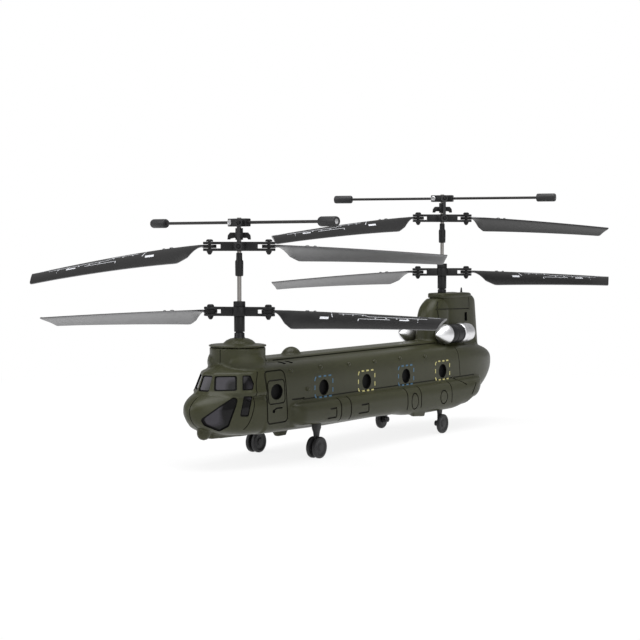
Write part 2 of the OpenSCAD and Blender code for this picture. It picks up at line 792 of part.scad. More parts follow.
module engine_cones() {
    r = engine_d / 2;
    color(chrome)
        pod_turned([
            [0, -cone_l], [0.35 * r, -0.72 * cone_l], [0.8 * r, -0.3 * cone_l], [r, -0.06 * cone_l],
            [r, -seat_gap / 2], [peg_r, -seat_gap / 2], [peg_r, peg_l], [0, peg_l]
        ]);
}

module engine_bodies() {
    r = engine_d / 2 - 0.15;
    d = engine_l;
    bore = peg_r + push_fit;
    deep = peg_l + seat_gap;
    color(black)
        pod_turned([
            [0, deep], [bore, deep], [bore, 0], [r, 0], [r, 0.45 * d], [r - 0.25, 0.48 * d],
            [r - 0.25, 0.55 * d], [r, 0.58 * d], [r, d], [bore, d], [bore, d - deep], [0, d - deep]
        ]);
}

module engine_exhausts() {
    r = engine_d / 2;
    z = engine_l + seat_gap / 2;
    end = z + exhaust_l;
    color(chrome)
        pod_turned([
            [0, engine_l - peg_l], [peg_r, engine_l - peg_l], [peg_r, z], [r - 0.1, z],
            [r, z + 0.4 * exhaust_l], [r - 0.35, end], [r - 1.1, end], [r - 1.3, z + 0.45 * exhaust_l],
            [0, z + 0.4 * exhaust_l]
        ]);
}

module gear_legs() {
    color(black)
        for (side = [0, 1])
            mirror([side, 0, 0])
                for (rear = [false, true])
                    let (x = rear ? rear_leg_x : front_leg_x, y = rear ? rear_wheel_y : front_wheel_y)
                        difference() {
                            union() {
                                leg_blank(rear, 0);
                                translate([x - leg_t / 2, y, axle_z])
                                    rotate([0, 90, 0]) cylinder(r = axle_d / 2 + 0.8, h = leg_t);
                            }
                            translate([x - leg_t, y, axle_z])
                                rotate([0, 90, 0]) cylinder(r = axle_d / 2 + run_fit, h = 2 * leg_t);
                        }
}

// Wheel standing on z = 0 along its axle, with a dished face and a hub
module wheel() {
    r = wheel_d / 2;
    rotate_extrude()
        polygon([
            [0, 0], [r - 0.25, 0], [r, 0.25], [r, wheel_t - 0.25], [r - 0.25, wheel_t], [0.74 * r, wheel_t],
            [0.66 * r, wheel_t - 0.25], [0.4 * r, wheel_t - 0.25], [0.34 * r, wheel_t], [0, wheel_t]
        ]);
}

module twin_wheels(side) {
    off = leg_t / 2 + seat_gap;
    color(charcoal)
        translate([side * front_leg_x, front_wheel_y, axle_z])
            rotate([0, 90, 0]) {
                translate([0, 0, off]) wheel();
                mirror([0, 0, 1]) translate([0, 0, off]) wheel();
                translate([0, 0, -off - 0.2]) cylinder(d = axle_d, h = 2 * off + 0.4);
            }
}

module tail_wheel(side) {
    off = leg_t / 2 + seat_gap;
    color(charcoal)
        translate([side * rear_leg_x, rear_wheel_y, axle_z])
            rotate([0, side * 90, 0]) {
                translate([0, 0, off]) wheel();
                translate([0, 0, -off - 0.7]) cylinder(d = axle_d, h = 2 * off + 0.9);
                translate([0, 0, -off - 0.7]) cylinder(r = axle_d / 2 + 0.35, h = 0.7);
            }
}

module front_left_wheels() {
    twin_wheels(1);
}

module front_right_wheels() {
    twin_wheels(-1);
}

module rear_left_wheel() {
    tail_wheel(1);
}

module rear_right_wheel() {
    tail_wheel(-1);
}

// Frame parts are drawn for the front mast and turned round for the rear one
module at_mast(rear) {
    translate([0, mast_y(rear), 0]) rotate(rear ? 180 : 0) children();
}

module gear_frame(rear) {
    edge = motor_off + motor_d / 2 + socket_t;
    px = post_x + post_r;
    py = post_y + post_r;
    leg_x = post_x - 0.8;
    arm_y = 1 - post_y + post_r;
    seat_r = bearing_r + 1;
    leg_end = floor_z(mast_y(rear) + (rear ? py : -py)) + 2 * seat_gap;
    color(black)
        at_mast(rear)
            difference() {
                union() {
                    translate([0, 0, plate_z])
                        linear_extrude(height = frame_t)
                            polygon([[-px, -py], [px, -py], [px, 1], [edge, 3], [edge, edge - 3],
                                [edge - 3, edge], [3 - edge, edge], [-edge, edge - 3], [-edge, 3], [-px, 1]]);
                    translate([0, 0, top_plate_z])
                        linear_extrude(height = frame_t)
                            polygon([[-px, -py], [px, -py], [px, arm_y], [seat_r, seat_r], [-seat_r, seat_r],
                                [-px, arm_y]]);
                    for (side = [-1, 1]) {
                        translate([side * post_x, -post_y, plate_z + 0.1])
                            cylinder(r = post_r, h = top_plate_z - plate_z);
                        translate([side * leg_x, -post_y, leg_end])
                            cylinder(r = post_r, h = plate_z - leg_end + 0.1);
                        translate([side * motor_off, motor_off, plate_z - socket_h])
                            cylinder(r = motor_d / 2 + socket_t, h = socket_h + 0.1);
                    }
                }
                translate([0, 0, plate_z - 1]) cylinder(r = bush_r + push_fit, h = frame_t + 2);
                translate([0, 0, top_plate_z - 1]) cylinder(r = bearing_r + push_fit, h = frame_t + 2);
                for (side = [-1, 1])
                    translate([side * motor_off, motor_off, 0]) {
                        translate([0, 0, plate_z - socket_h - 1])
                            cylinder(r = motor_d / 2 + run_fit, h = socket_h + 1);
                        translate([0, 0, plate_z - 1]) cylinder(r = motor_shaft_d / 2 + 0.9, h = frame_t + 2);
                    }
            }
}

module front_frame() {
    gear_frame(false);
}

module rear_frame() {
    gear_frame(true);
}

module drive_motors() {
    hole_r = motor_shaft_d / 2 + run_fit;
    can_r = motor_d / 2;
    boss = motor_shaft_d / 2 + 0.7;
    color(steel)
        for (rear = [false, true], side = [-1, 1])
            at_mast(rear)
                translate([side * motor_off, motor_off, motor_z])
                    rotate_extrude()
                        polygon([
                            [0, 0], [can_r - 0.3, 0], [can_r, 0.3], [can_r, motor_l - 0.3],
                            [can_r - 0.3, motor_l], [boss, motor_l], [boss, motor_l + 0.8],
                            [hole_r, motor_l + 0.8], [hole_r, motor_l - 4], [0, motor_l - 4]
                        ]);
}

module ring(r0, r1, h) {
    rotate_extrude() polygon([[r0, 0], [r1, 0], [r1, h], [r0, h]]);
}

module mast_bearings() {
    color(steel)
        for (rear = [false, true])
            translate([0, mast_y(rear), 0]) {
                translate([0, 0, plate_z]) ring(inner_shaft_r + run_fit, bush_r, frame_t);
                translate([0, 0, top_plate_z]) ring(outer_shaft_r + run_fit, bearing_r, frame_t);
            }
}

// Straight-flanked gear tooth form, one tooth centred on +X
function gear_outline(teeth, backlash) =
    let (r = gear_module * teeth / 2,
         half = 90 / teeth - backlash / r * 90 / PI,
         tip = r + addendum,
         root = r - dedendum)
    [for (k = [0:teeth - 1], p = [[root, -1.5], [r, -1], [tip, -0.5], [tip, 0.5], [r, 1], [root, 1.5]])
        let (a = k * 360 / teeth + p[1] * half) [p[0] * cos(a), p[0] * sin(a)]];

module main_gear(rear, z, bore_r) {
    color(white)
        translate([0, mast_y(rear), z])
            difference() {
                union() {
                    linear_extrude(height = gear_w) polygon(gear_outline(main_teeth, gear_backlash));
                    cylinder(r = bore_r + 1.1, h = gear_w + collar_h);
                }
                translate([0, 0, -1]) cylinder(r = bore_r, h = gear_w + collar_h + 2);
                for (k = [0:5])
                    rotate(k * 60 + 30)
                        translate([0.62 * main_r, 0, -1]) cylinder(r = 0.16 * main_r, h = gear_w + 2);
            }
}

module front_inner_gear() {
    main_gear(false, inner_gear_z, inner_shaft_r + push_fit);
}

module rear_inner_gear() {
    main_gear(true, inner_gear_z, inner_shaft_r + push_fit);
}

module front_outer_gear() {
    main_gear(false, outer_gear_z, outer_shaft_r + push_fit);
}

module rear_outer_gear() {
    main_gear(true, outer_gear_z, outer_shaft_r + push_fit);
}

// Pinion on its motor shaft, a tooth gap facing the main gear
module pinion(rear, side, gear_z) {
    z0 = motor_z + motor_l - 3.6;
    gap_turn = 180 + 180 / pinion_teeth + (side > 0 ? motor_turn : 180 - motor_turn);
    color(brass)
        at_mast(rear)
            translate([side * motor_off, motor_off, 0]) {
                translate([0, 0, z0]) cylinder(d = motor_shaft_d, h = gear_z - z0 + 0.1);
                translate([0, 0, gear_z - pinion_over / 2])
                    rotate(gap_turn)
                        linear_extrude(height = gear_w + pinion_over)
                            polygon(gear_outline(pinion_teeth, gear_backlash));
            }
}

module front_inner_pinion() {
    pinion(false, 1, inner_gear_z);
}

module front_outer_pinion() {
    pinion(false, -1, outer_gear_z);
}

module rear_inner_pinion() {
    pinion(true, 1, inner_gear_z);
}

module rear_outer_pinion() {
    pinion(true, -1, outer_gear_z);
}

// Solid shaft with cross holes for the hub pin and the flybar pin
module inner_shaft(rear) {
    z0 = plate_z - 0.5;
    top = flybar_z(rear) + flybar_hub_h / 2 + 0.3;
    color(steel)
        translate([0, mast_y(rear), 0])
            difference() {
                translate([0, 0, z0]) cylinder(d = inner_shaft_d, h = top - z0);
                translate([0, 0, upper_z(rear)])
                    rotate([0, 90, rotor_turn(rear, true)])
                        cylinder(r = pin_r + run_fit, h = 2 * inner_shaft_d, center = true);
                translate([0, 0, flybar_z(rear)])
                    rotate([0, 90, flybar_turn(rear) + 90])
                        cylinder(r = pin_r + run_fit, h = 2 * inner_shaft_d, center = true);
            }
}

module front_inner_shaft() {
    inner_shaft(false);
}

module rear_inner_shaft() {
    inner_shaft(true);
}

module outer_shaft(rear) {
    z0 = outer_gear_z - stack_gap;
    color(steel)
        translate([0, mast_y(rear), z0])
            ring(inner_shaft_r + run_fit, outer_shaft_r, lower_z(rear) + 0.4 - z0);
}

module front_outer_shaft() {
    outer_shaft(false);
}

module rear_outer_shaft() {
    outer_shaft(true);
}

// Black sleeve under the upper hub, and the cross collar above it
module sleeves(rear) {
    bore = inner_shaft_r + push_fit;
    r = shaft_sleeve_d / 2;
    end_x = collar_l / 2;
    half = [[end_x - 1.5, 0.4], [end_x - 0.9, -0.7], [end_x, -0.7], [end_x - 0.4, 0.9],
        [end_x - 1.4, collar_t]];
    color(black)
        translate([0, mast_y(rear), upper_z(rear)]) {
            translate([0, 0, -hub_h / 2 - tilt_room - shaft_sleeve_l])
                rotate_extrude()
                    polygon([[bore, 0], [r - 0.2, 0], [r, 0.2], [r, 0.68 * shaft_sleeve_l],
                        [r - 0.35, 0.72 * shaft_sleeve_l], [r - 0.35, shaft_sleeve_l],
                        [bore, shaft_sleeve_l]]);
            rotate(rotor_turn(rear, true))
                difference() {
                    union() {
                        translate([0, 0, collar_z]) cylinder(r = bore + 1, h = collar_t);
                        translate([0, 0.8, collar_z])
                            rotate([90, 0, 0])
                                linear_extrude(height = 1.6)
                                    polygon(concat(half, [for (i = [4:-1:0]) [-half[i][0], half[i][1]]]));
                    }
                    cylinder(r = bore, h = collar_z + collar_t + 1);
                }
        }
}

module front_sleeves() {
    sleeves(false);
}

module rear_sleeves() {
    sleeves(true);
}

// Bar with a forked round grip at each end, lying along X and centred on the mast
module hub_bar() {
    bar_w = 1.3 * grip_r;
    slot_in = eye_r + 3 * seat_gap;
    difference() {
        union() {
            translate([0, 0, -hub_h / 2]) cylinder(r = hub_core_r, h = hub_h);
            translate([-blade_pivot_r, -bar_w / 2, -hub_h / 2]) cube([2 * blade_pivot_r, bar_w, hub_h]);
            for (side = [-1, 1])
                translate([side * blade_pivot_r, 0, -hub_h / 2]) cylinder(r = grip_r, h = hub_h);
        }
        for (side = [-1, 1])
            translate([side * blade_pivot_r, 0, 0]) {
                translate([side > 0 ? -slot_in : -grip_r - 1, -2 * grip_r, -fork_gap / 2])
                    cube([slot_in + grip_r + 1, 4 * grip_r, fork_gap]);
                translate([0, 0, -hub_h]) cylinder(d = blade_screw_d + 2 * run_fit, h = 2 * hub_h);
            }
        for (side = [-1, 1])
            translate([side * (hub_core_r + 1.7), 0, 0])
                rotate([90, 0, 0]) cylinder(d = 0.35 * hub_h, h = 2 * bar_w, center = true);
    }
}

module lower_hub(rear) {
    top = 1.8;
    color(black)
        translate([0, mast_y(rear), lower_z(rear)])
            difference() {
                union() {
                    rotate(rotor_turn(rear, false)) hub_bar();
                    cylinder(d = hub_sleeve_d + 0.8, h = hub_h / 2 + top);
                    translate([0, 0, -hub_h / 2 - hub_sleeve_l])
                        cylinder(d = hub_sleeve_d, h = hub_sleeve_l + 0.1);
                }
                translate([0, 0, -hub_h - hub_sleeve_l])
                    cylinder(r = outer_shaft_r + push_fit, h = hub_h + hub_sleeve_l + 0.5);
                cylinder(r = inner_shaft_r + 2 * run_fit, h = hub_h + top);
            }
}

module front_lower_hub() {
    lower_hub(false);
}

module rear_lower_hub() {
    lower_hub(true);
}

// Hub that rocks about the blade line on a pin through the shaft, with the arm for the flybar link
module upper_hub(rear) {
    color(black)
        translate([0, mast_y(rear), upper_z(rear)])
            rotate(rotor_turn(rear, true)) {
                difference() {
                    hub_bar();
                    translate([0, 0, -hub_h]) cylinder(r = hub_bore_r, h = 2 * hub_h);
                }
                rotate([0, 90, 0]) cylinder(r = pin_r, h = 2 * hub_core_r - 0.6, center = true);
                translate([0, -hub_core_r + 0.4, 0])
                    rotate([90, 0, 0]) cylinder(r = ball_r, h = link_r + arm_past - hub_core_r + 0.4);
            }
}

module front_upper_hub() {
    upper_hub(false);
}

module rear_upper_hub() {
    upper_hub(true);
}

// One closed ring of the blade's section at u from its screw; v runs from the leading to the trailing edge
function blade_ring(u, le, te, pitch, z, side) =
    let (c = te - le,
         up = [[0, 0], [0.08, 0.42], [0.35, 0.5], [0.7, 0.4], [1, 0.15]],
         low = [[1, -0.15], [0.7, -0.4], [0.35, -0.5], [0.08, -0.42]],
         bow = 0.035 * c)
    [for (p = concat(up, low))
        let (f = p[0] * c + le, h = p[1] * blade_t + 4 * bow * p[0] * (1 - p[0]))
        [u, side * (f * cos(pitch) + h * sin(pitch)), z - f * sin(pitch) + h * cos(pitch)]];

function blade_te(u) =
    let (wide = blade_chord - lead_edge)
    u < root_cut ? neck_w / 2 + (u - neck_l) / (root_cut - neck_l) * (wide - neck_w / 2)
                 : wide + (u - root_cut) / (blade_span - root_cut) * (tip_chord - blade_chord);

// Blade along +X from its screw at the origin. The trailing edge is on the +Y side for side = 1.
module blade(side, tip_drop, rake) {
    tip_u = blade_span;
    shares = [0.4, 0.55, 0.7, 0.85, 1];
    places = [neck_l - 1.2, neck_l + 0.6, root_cut - 3, root_cut, root_cut + 4, each shares * tip_u];
    difference() {
        union() {
            translate([0, 0, -eye_h / 2]) cylinder(r = eye_r, h = eye_h);
            translate([0, -neck_w / 2, -eye_h / 2]) cube([neck_l + 0.2, neck_w, eye_h]);
            loft([
                for (u = places)
                    let (share = max(u - neck_l, 0) / (blade_span - neck_l),
                         turn = min(1, max(u - neck_l, 0) / (root_cut - 3 - neck_l)),
                         le = -neck_w / 2 + 0.15 - turn * (lead_edge - neck_w / 2 + 0.15),
                         te = u < neck_l ? neck_w / 2 - 0.15 : blade_te(u),
                         pitch = turn * (root_pitch + (tip_pitch - root_pitch) * share),
                         ring = blade_ring(u, le, te, pitch, -tip_drop * pow(share, bend), side),
                         cut = u == tip_u ? rake / (te - le) : 0,
                         raked = [for (p = ring) [p[0] - cut * (p[1] * side - le), p[1], p[2]]])
                        side > 0 ? raked : [for (i = [len(raked) - 1:-1:0]) raked[i]]
            ]);
        }
        translate([0, 0, -eye_h]) cylinder(d = blade_screw_d + 3 * run_fit, h = 2 * eye_h);
    }
}

// Upper rotors turn clockwise seen from above, lower ones the other way
module rotor_blade(rear, upper, which) {
    color(charcoal)
        translate([0, mast_y(rear), upper ? upper_z(rear) : lower_z(rear)])
            rotate(rotor_turn(rear, upper) + which * 180)
                translate([blade_pivot_r, 0, 0])
                    blade(upper ? 1 : -1, droop(rear, upper)[which], upper ? 0.6 : 3.2);
}

module blade_screws(rear, upper) {
    r = blade_screw_head_d / 2;
    shank_r = blade_screw_d / 2;
    seat = hub_h / 2 + seat_gap / 2;
    color(steel)
        translate([0, mast_y(rear), upper ? upper_z(rear) : lower_z(rear)])
            rotate(rotor_turn(rear, upper))
                for (side = [-1, 1])
                    translate([side * blade_pivot_r, 0, 0])
                        rotate_extrude()
                            polygon([[0, -hub_h / 2], [shank_r, -hub_h / 2], [shank_r, seat], [r, seat],
                                [r, seat + 0.45], [0.6 * r, seat + 0.75], [0, seat + 0.75]]);
}

// Rocking hub on a pin through the top of the shaft, with the arm that works the link
module flybar_hub(rear) {
    w = 2.6;
    slot_l = inner_shaft_d + 2 * (flybar_hub_h / 2 * tan(15) + 0.2);
    slot_w = inner_shaft_d + 4 * run_fit;
    arm_turn = link_turn(rear) - flybar_turn(rear);
    arm_start = w / 2 / abs(sin(arm_turn)) - 0.35;
    color(black)
        translate([0, mast_y(rear), flybar_z(rear)])
            rotate(flybar_turn(rear)) {
                difference() {
                    union() {
                        translate([-flybar_hub_l / 2, -w / 2, -flybar_hub_h / 2])
                            cube([flybar_hub_l, w, flybar_hub_h]);
                        translate([0, w / 2 + 0.3, 0]) rotate([90, 0, 0]) cylinder(r = 1, h = w + 0.6);
                    }
                    translate([-slot_l / 2, -slot_w / 2, -flybar_hub_h])
                        cube([slot_l, slot_w, 2 * flybar_hub_h]);
                    for (side = [0, 1])
                        mirror([side, 0, 0])
                            translate([flybar_hub_l / 2 - 2.4, 0, 0])
                                rotate([0, 90, 0]) cylinder(d = flybar_wire_d + 2 * push_fit, h = 3);
                }
                rotate([90, 0, 0]) cylinder(r = pin_r, h = w - 0.4, center = true);
                rotate(arm_turn)
                    translate([arm_start, 0, 0])
                        rotate([0, 90, 0]) cylinder(r = ball_r, h = link_r + arm_past - arm_start);
            }
}

module front_flybar_hub() {
    flybar_hub(false);
}

module rear_flybar_hub() {
    flybar_hub(true);
}

module flybar_wires(rear) {
    x0 = flybar_hub_l / 2 - 2.3;
    color(black)
        translate([0, mast_y(rear), flybar_z(rear)])
            rotate(flybar_turn(rear))
                for (side = [0, 1])
                    mirror([side, 0, 0])
                        translate([x0, 0, 0])
                            rotate([0, 90, 0]) cylinder(d = flybar_wire_d, h = flybar_r - 0.6 - x0);
}

module front_flybar_wires() {
    flybar_wires(false);
}

module rear_flybar_wires() {
    flybar_wires(true);
}

module flybar_weights(rear) {
    r = weight_d / 2;
    bore = flybar_wire_d / 2 + push_fit;
    color(charcoal)
        translate([0, mast_y(rear), flybar_z(rear)])
            rotate(flybar_turn(rear))
                for (side = [0, 1])
                    mirror([side, 0, 0])
                        translate([flybar_r - weight_l, 0, 0])
                            rotate([0, 90, 0])
                                rotate_extrude()
                                    polygon([[bore, 0], [r - 0.5, 0], [r, 0.5], [r, weight_l - 0.4],
                                        [r - 0.4, weight_l], [0, weight_l], [0, weight_l - 0.5],
                                        [bore, weight_l - 0.5]]);
}

module front_flybar_weights() {
    flybar_weights(false);
}

module rear_flybar_weights() {
    flybar_weights(true);
}

// Dog-bone link between the arms of the flybar hub and the upper hub
module flybar_link(rear) {
    hole_r = ball_r + eye_room;
    t = 1;
    color(charcoal)
        translate([0, mast_y(rear), upper_z(rear)])
            rotate(link_turn(rear))
                translate([link_r, 0, 0])
                    rotate([90, 0, 90])
                        difference() {
                            union() {
                                for (z = [0, flybar_rise])
                                    translate([0, z, -t / 2]) cylinder(r = hole_r + 0.45, h = t);
                                translate([-0.5, 0, -t / 2]) cube([1, flybar_rise, t]);
                            }
                            for (z = [0, flybar_rise])
                                translate([0, z, -t]) cylinder(r = hole_r, h = 2 * t);
                        }
}

module front_flybar_link() {
    flybar_link(false);
}

module rear_flybar_link() {
    flybar_link(true);
}

module circuit_board() {
    color([0.1, 0.3, 0.16])
        translate([0, battery_y, board_z])
            difference() {
                union() {
                    translate([-board_w / 2, 0, 0]) cube([board_w, board_l, board_t]);
                    // Controller, four motor drivers and the infrared receiver
                    translate([-3, 0.3 * board_l, 0]) cube([6, 6, board_t + 1]);
                    for (x = [-1, 1], share = [0.12, 0.72])
                        translate([x * 0.3 * board_w - 1.5, share * board_l, 0]) cube([3, 4, board_t + 1.1]);
                    translate([0, 0.55 * board_l, 0]) cylinder(d = 4, h = board_t + 3.5);
                }
                for (x = [-1, 1], share = [0.04, 0.96])
                    translate([x * (board_w / 2 - 2.4), share * board_l, -1])
                        cylinder(d = 1.4, h = board_t + 2);
            }
}

module battery() {
    z = belly_z + wall + seat_gap;
    color([0.55, 0.57, 0.6])
        translate([0, battery_y, z]) {
            translate([-battery_w / 2, 1.6, 0]) cube([battery_w, battery_l - 1.6, battery_h]);
            translate([-0.4 * battery_w, 0, 0.3 * battery_h]) cube([0.8 * battery_w, 2, 0.3 * battery_h]);
        }
}

module charge_socket() {
    r = jack_d / 2;
    z = belly_z;
    flange_z = z + wall + seat_gap;
    color(black)
        translate([0, jack_y, 0])
            rotate_extrude()
                polygon([
                    [r, z], [r + jack_wall, z], [r + jack_wall, flange_z], [r + jack_wall + 1, flange_z],
                    [r + jack_wall + 1, flange_z + 0.8], [r + jack_wall, flange_z + 0.8],
                    [r + jack_wall, z + jack_l + 0.6], [0, z + jack_l + 0.6], [0, z + jack_l], [r, z + jack_l]
                ]);
}

module power_switch() {
    slider_z = belly_z + wall + seat_gap;
    color(white)
        translate([0, switch_y, 0]) {
            translate([-switch_w / 2, -switch_w / 2, belly_z - 0.8])
                cube([switch_w, switch_w, slider_z - belly_z + 0.9]);
            translate([-switch_w / 2 - 1, -switch_w / 2 - 1, slider_z]) cube([switch_w + 2, switch_w + 2, 1]);
        }
}

left_body_half();
right_body_half();
cockpit_glazing();
front_pylon_cap();
rear_pylon_cap();
engine_cones();
engine_bodies();
engine_exhausts();
gear_legs();
front_left_wheels();
front_right_wheels();
rear_left_wheel();
rear_right_wheel();
front_frame();
rear_frame();
drive_motors();
mast_bearings();
front_inner_pinion();
front_outer_pinion();
rear_inner_pinion();
rear_outer_pinion();
front_inner_gear();
front_outer_gear();
rear_inner_gear();
rear_outer_gear();
front_inner_shaft();
front_outer_shaft();
rear_inner_shaft();
rear_outer_shaft();
front_sleeves();
rear_sleeves();
front_lower_hub();
rear_lower_hub();
front_upper_hub();
rear_upper_hub();
rotor_blade(false, true, 0);  // front_upper_blade_a
rotor_blade(false, true, 1);  // front_upper_blade_b
rotor_blade(false, false, 0);  // front_lower_blade_a
rotor_blade(false, false, 1);  // front_lower_blade_b
rotor_blade(true, true, 0);  // rear_upper_blade_a
rotor_blade(true, true, 1);  // rear_upper_blade_b
rotor_blade(true, false, 0);  // rear_lower_blade_a
rotor_blade(true, false, 1);  // rear_lower_blade_b
blade_screws(false, true);  // front_upper_screws
blade_screws(false, false);  // front_lower_screws
blade_screws(true, true);  // rear_upper_screws
blade_screws(true, false);  // rear_lower_screws
front_flybar_hub();
rear_flybar_hub();
front_flybar_wires();
rear_flybar_wires();
front_flybar_weights();
rear_flybar_weights();
front_flybar_link();
rear_flybar_link();
circuit_board();
battery();
charge_socket();
power_switch();
body_screws();
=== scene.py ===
# Small flying model of a tandem-rotor transport helicopter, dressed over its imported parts.
import json
import math
import bpy
import bmesh
from mathutils import Matrix, Vector
from mathutils.bvhtree import BVHTree


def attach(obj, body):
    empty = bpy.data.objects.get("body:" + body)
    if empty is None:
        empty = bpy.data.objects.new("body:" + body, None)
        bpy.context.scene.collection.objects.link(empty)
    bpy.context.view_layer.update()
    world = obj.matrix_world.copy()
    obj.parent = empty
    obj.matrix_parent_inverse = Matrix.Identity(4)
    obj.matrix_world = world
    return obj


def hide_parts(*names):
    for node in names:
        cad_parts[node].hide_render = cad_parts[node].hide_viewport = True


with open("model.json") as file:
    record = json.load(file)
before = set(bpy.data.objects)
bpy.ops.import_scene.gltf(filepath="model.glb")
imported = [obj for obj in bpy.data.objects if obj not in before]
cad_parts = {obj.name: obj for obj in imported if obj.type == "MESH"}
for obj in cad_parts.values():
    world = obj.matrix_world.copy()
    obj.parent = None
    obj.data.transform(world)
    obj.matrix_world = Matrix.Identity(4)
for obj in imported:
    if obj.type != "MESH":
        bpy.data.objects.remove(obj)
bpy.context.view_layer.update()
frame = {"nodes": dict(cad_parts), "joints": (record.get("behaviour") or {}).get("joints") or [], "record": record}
nodes = frame["nodes"]
joints = {j["name"]: j for j in frame["joints"]}
print("frame loaded:", len(nodes), "nodes")

# Lengths below are millimetres; finished meshes are scaled to metres
mm = 0.001
weld = 0.0005
smoothAngle = math.radians(35)
masts = {end: Vector(joints[end + "_inner_spin"]["pos_m"]) / mm for end in ("front", "rear")}
frontY = masts["front"].y
rearY = masts["rear"].y
midY = (frontY + rearY) / 2
bothHands = (1, -1)  # port and starboard

# How finely surfaces are divided: faces across and along, and flats round turned parts
facets = {"cabin": (96, 150), "nose": (96, 90), "drum": (96, 44), "pylon": (96, 60), "fairing": (80, 60),
          "sponson": (72, 130), "room": (64, 60), "pylonRoom": (64, 30), "blade": (48, 90), "ball": (40, 24)}
flats = {"cap": 96, "drumRoom": 64, "engine": 64, "wheel": 56, "sleeve": 40, "weight": 40, "socket": 40,
         "rod": 32, "screwWell": 32, "screw": 28, "nub": 24, "spike": 20}


# One socket of a node tree, so that shading can be written as sums
class Wire:
    def __init__(self, tree, socket=None):
        self.tree = tree
        self.socket = socket

    def add(self, kind, inputs=None, out=0, **settings):
        made = self.tree.nodes.new(kind)
        for key, value in settings.items():
            setattr(made, key, value)
        for key, value in (inputs or {}).items():
            if isinstance(value, Wire):
                self.tree.links.new(value.socket, made.inputs[key])
            else:
                made.inputs[key].default_value = value
        return Wire(self.tree, made.outputs[out])

    def math(self, operation, *values, clamp=False):
        return self.add("ShaderNodeMath", dict(enumerate(values)), operation=operation, use_clamp=clamp)

    def mix(self, share, a, b):
        return self.add("ShaderNodeMix", {0: share, 6: (*a, 1), 7: (*b, 1)}, out=2, data_type="RGBA")

    def __add__(self, other):
        return self.math("ADD", self, other)

    def __radd__(self, other):
        return self.math("ADD", other, self)

    def __sub__(self, other):
        return self.math("SUBTRACT", self, other)

    def __mul__(self, other):
        return self.math("MULTIPLY", self, other)

    def __rmul__(self, other):
        return self.math("MULTIPLY", other, self)


def place(wire):
    return wire.add("ShaderNodeTexCoord", out="Object")


def noise(wire, scale, detail=3.0):
    return wire.add("ShaderNodeTexNoise", {"Vector": place(wire), "Scale": scale, "Detail": detail})


def bump(wire, height, strength, distance):
    return wire.add("ShaderNodeBump", {"Height": height, "Strength": strength, "Distance": distance})


# A Principled material: fixed values sit on the shader, and paint returns what changes over the surface
def finish(name, paint, metallic=0.0, specular=0.5):
    material = bpy.data.materials.new(name)
    material.use_nodes = True
    tree = material.node_tree
    shader = tree.nodes["Principled BSDF"]
    shader.inputs["Metallic"].default_value = metallic
    shader.inputs["Specular IOR Level"].default_value = specular
    for key, wire in paint(Wire(tree)).items():
        tree.links.new(wire.socket, shader.inputs[key])
    return material


# Pattern scales are repeats per metre, and bump depths are metres
moulding = {"clouds": 260.0, "specks": 5200.0, "sheen": 900.0, "spread": 0.1, "grain": 0.12, "depth": 0.00006}


# Moulded plastic: two close tones in clouds, a fine grain and uneven sheen
def plastic(name, dark, light, rough, specular=0.5):
    def paint(w):
        specks = noise(w, moulding["specks"], 2.0)
        return {
            "Base Color": w.mix(noise(w, moulding["clouds"]), dark, light),
            "Roughness": rough - moulding["spread"] / 2 + moulding["spread"] * noise(w, moulding["sheen"]),
            "Normal": bump(w, specks, moulding["grain"], moulding["depth"]),
        }
    return finish(name, paint, specular=specular)


# Glazing tones: the light tone, laid on in noise patches, is painted reflection
glazing = {"dark": (0.003, 0.0028, 0.003), "light": (0.034, 0.032, 0.038), "patches": 150.0, "level": 0.45,
           "contrast": 7.0, "rough": 0.08, "sheen": 700.0, "spread": 0.06, "ripples": 500.0, "grain": 0.03,
           "depth": 0.00005, "specular": 0.2}


# Dark glazing with painted reflections: soft lighter patches of its surroundings painted into its base colour
def glass(name):
    def paint(w):
        # Painted reflection: where the noise passes a level, the base colour lightens
        level = noise(w, glazing["patches"], 0.0) - glazing["level"]
        paintedReflection = w.math("MULTIPLY", level, glazing["contrast"], clamp=True)
        return {
            "Base Color": w.mix(paintedReflection, glazing["dark"], glazing["light"]),
            "Roughness": glazing["rough"] + glazing["spread"] * noise(w, glazing["sheen"]),
            "Normal": bump(w, noise(w, glazing["ripples"]), glazing["grain"], glazing["depth"]),
        }
    return finish(name, paint, specular=glazing["specular"])


polish = {"scratches": 2600.0, "drawn": (1.0, 1.0, 14.0), "patches": 420.0, "spread": 0.12, "grain": 0.1,
          "depth": 0.00004}


# Metal: fine scratches round or along the part, and patches of duller polish
def metal(name, bright, dull, rough, stretch=polish["drawn"]):
    def paint(w):
        drawn = w.add("ShaderNodeMapping", {"Vector": place(w), "Scale": stretch})
        lines = w.add("ShaderNodeTexNoise", {"Vector": drawn, "Scale": polish["scratches"], "Detail": 2.0})
        patches = noise(w, polish["patches"])
        return {
            "Base Color": w.mix(patches, bright, dull),
            "Roughness": rough + polish["spread"] * patches,
            "Normal": bump(w, lines, polish["grain"], polish["depth"]),
        }
    return finish(name, paint, metallic=1.0)


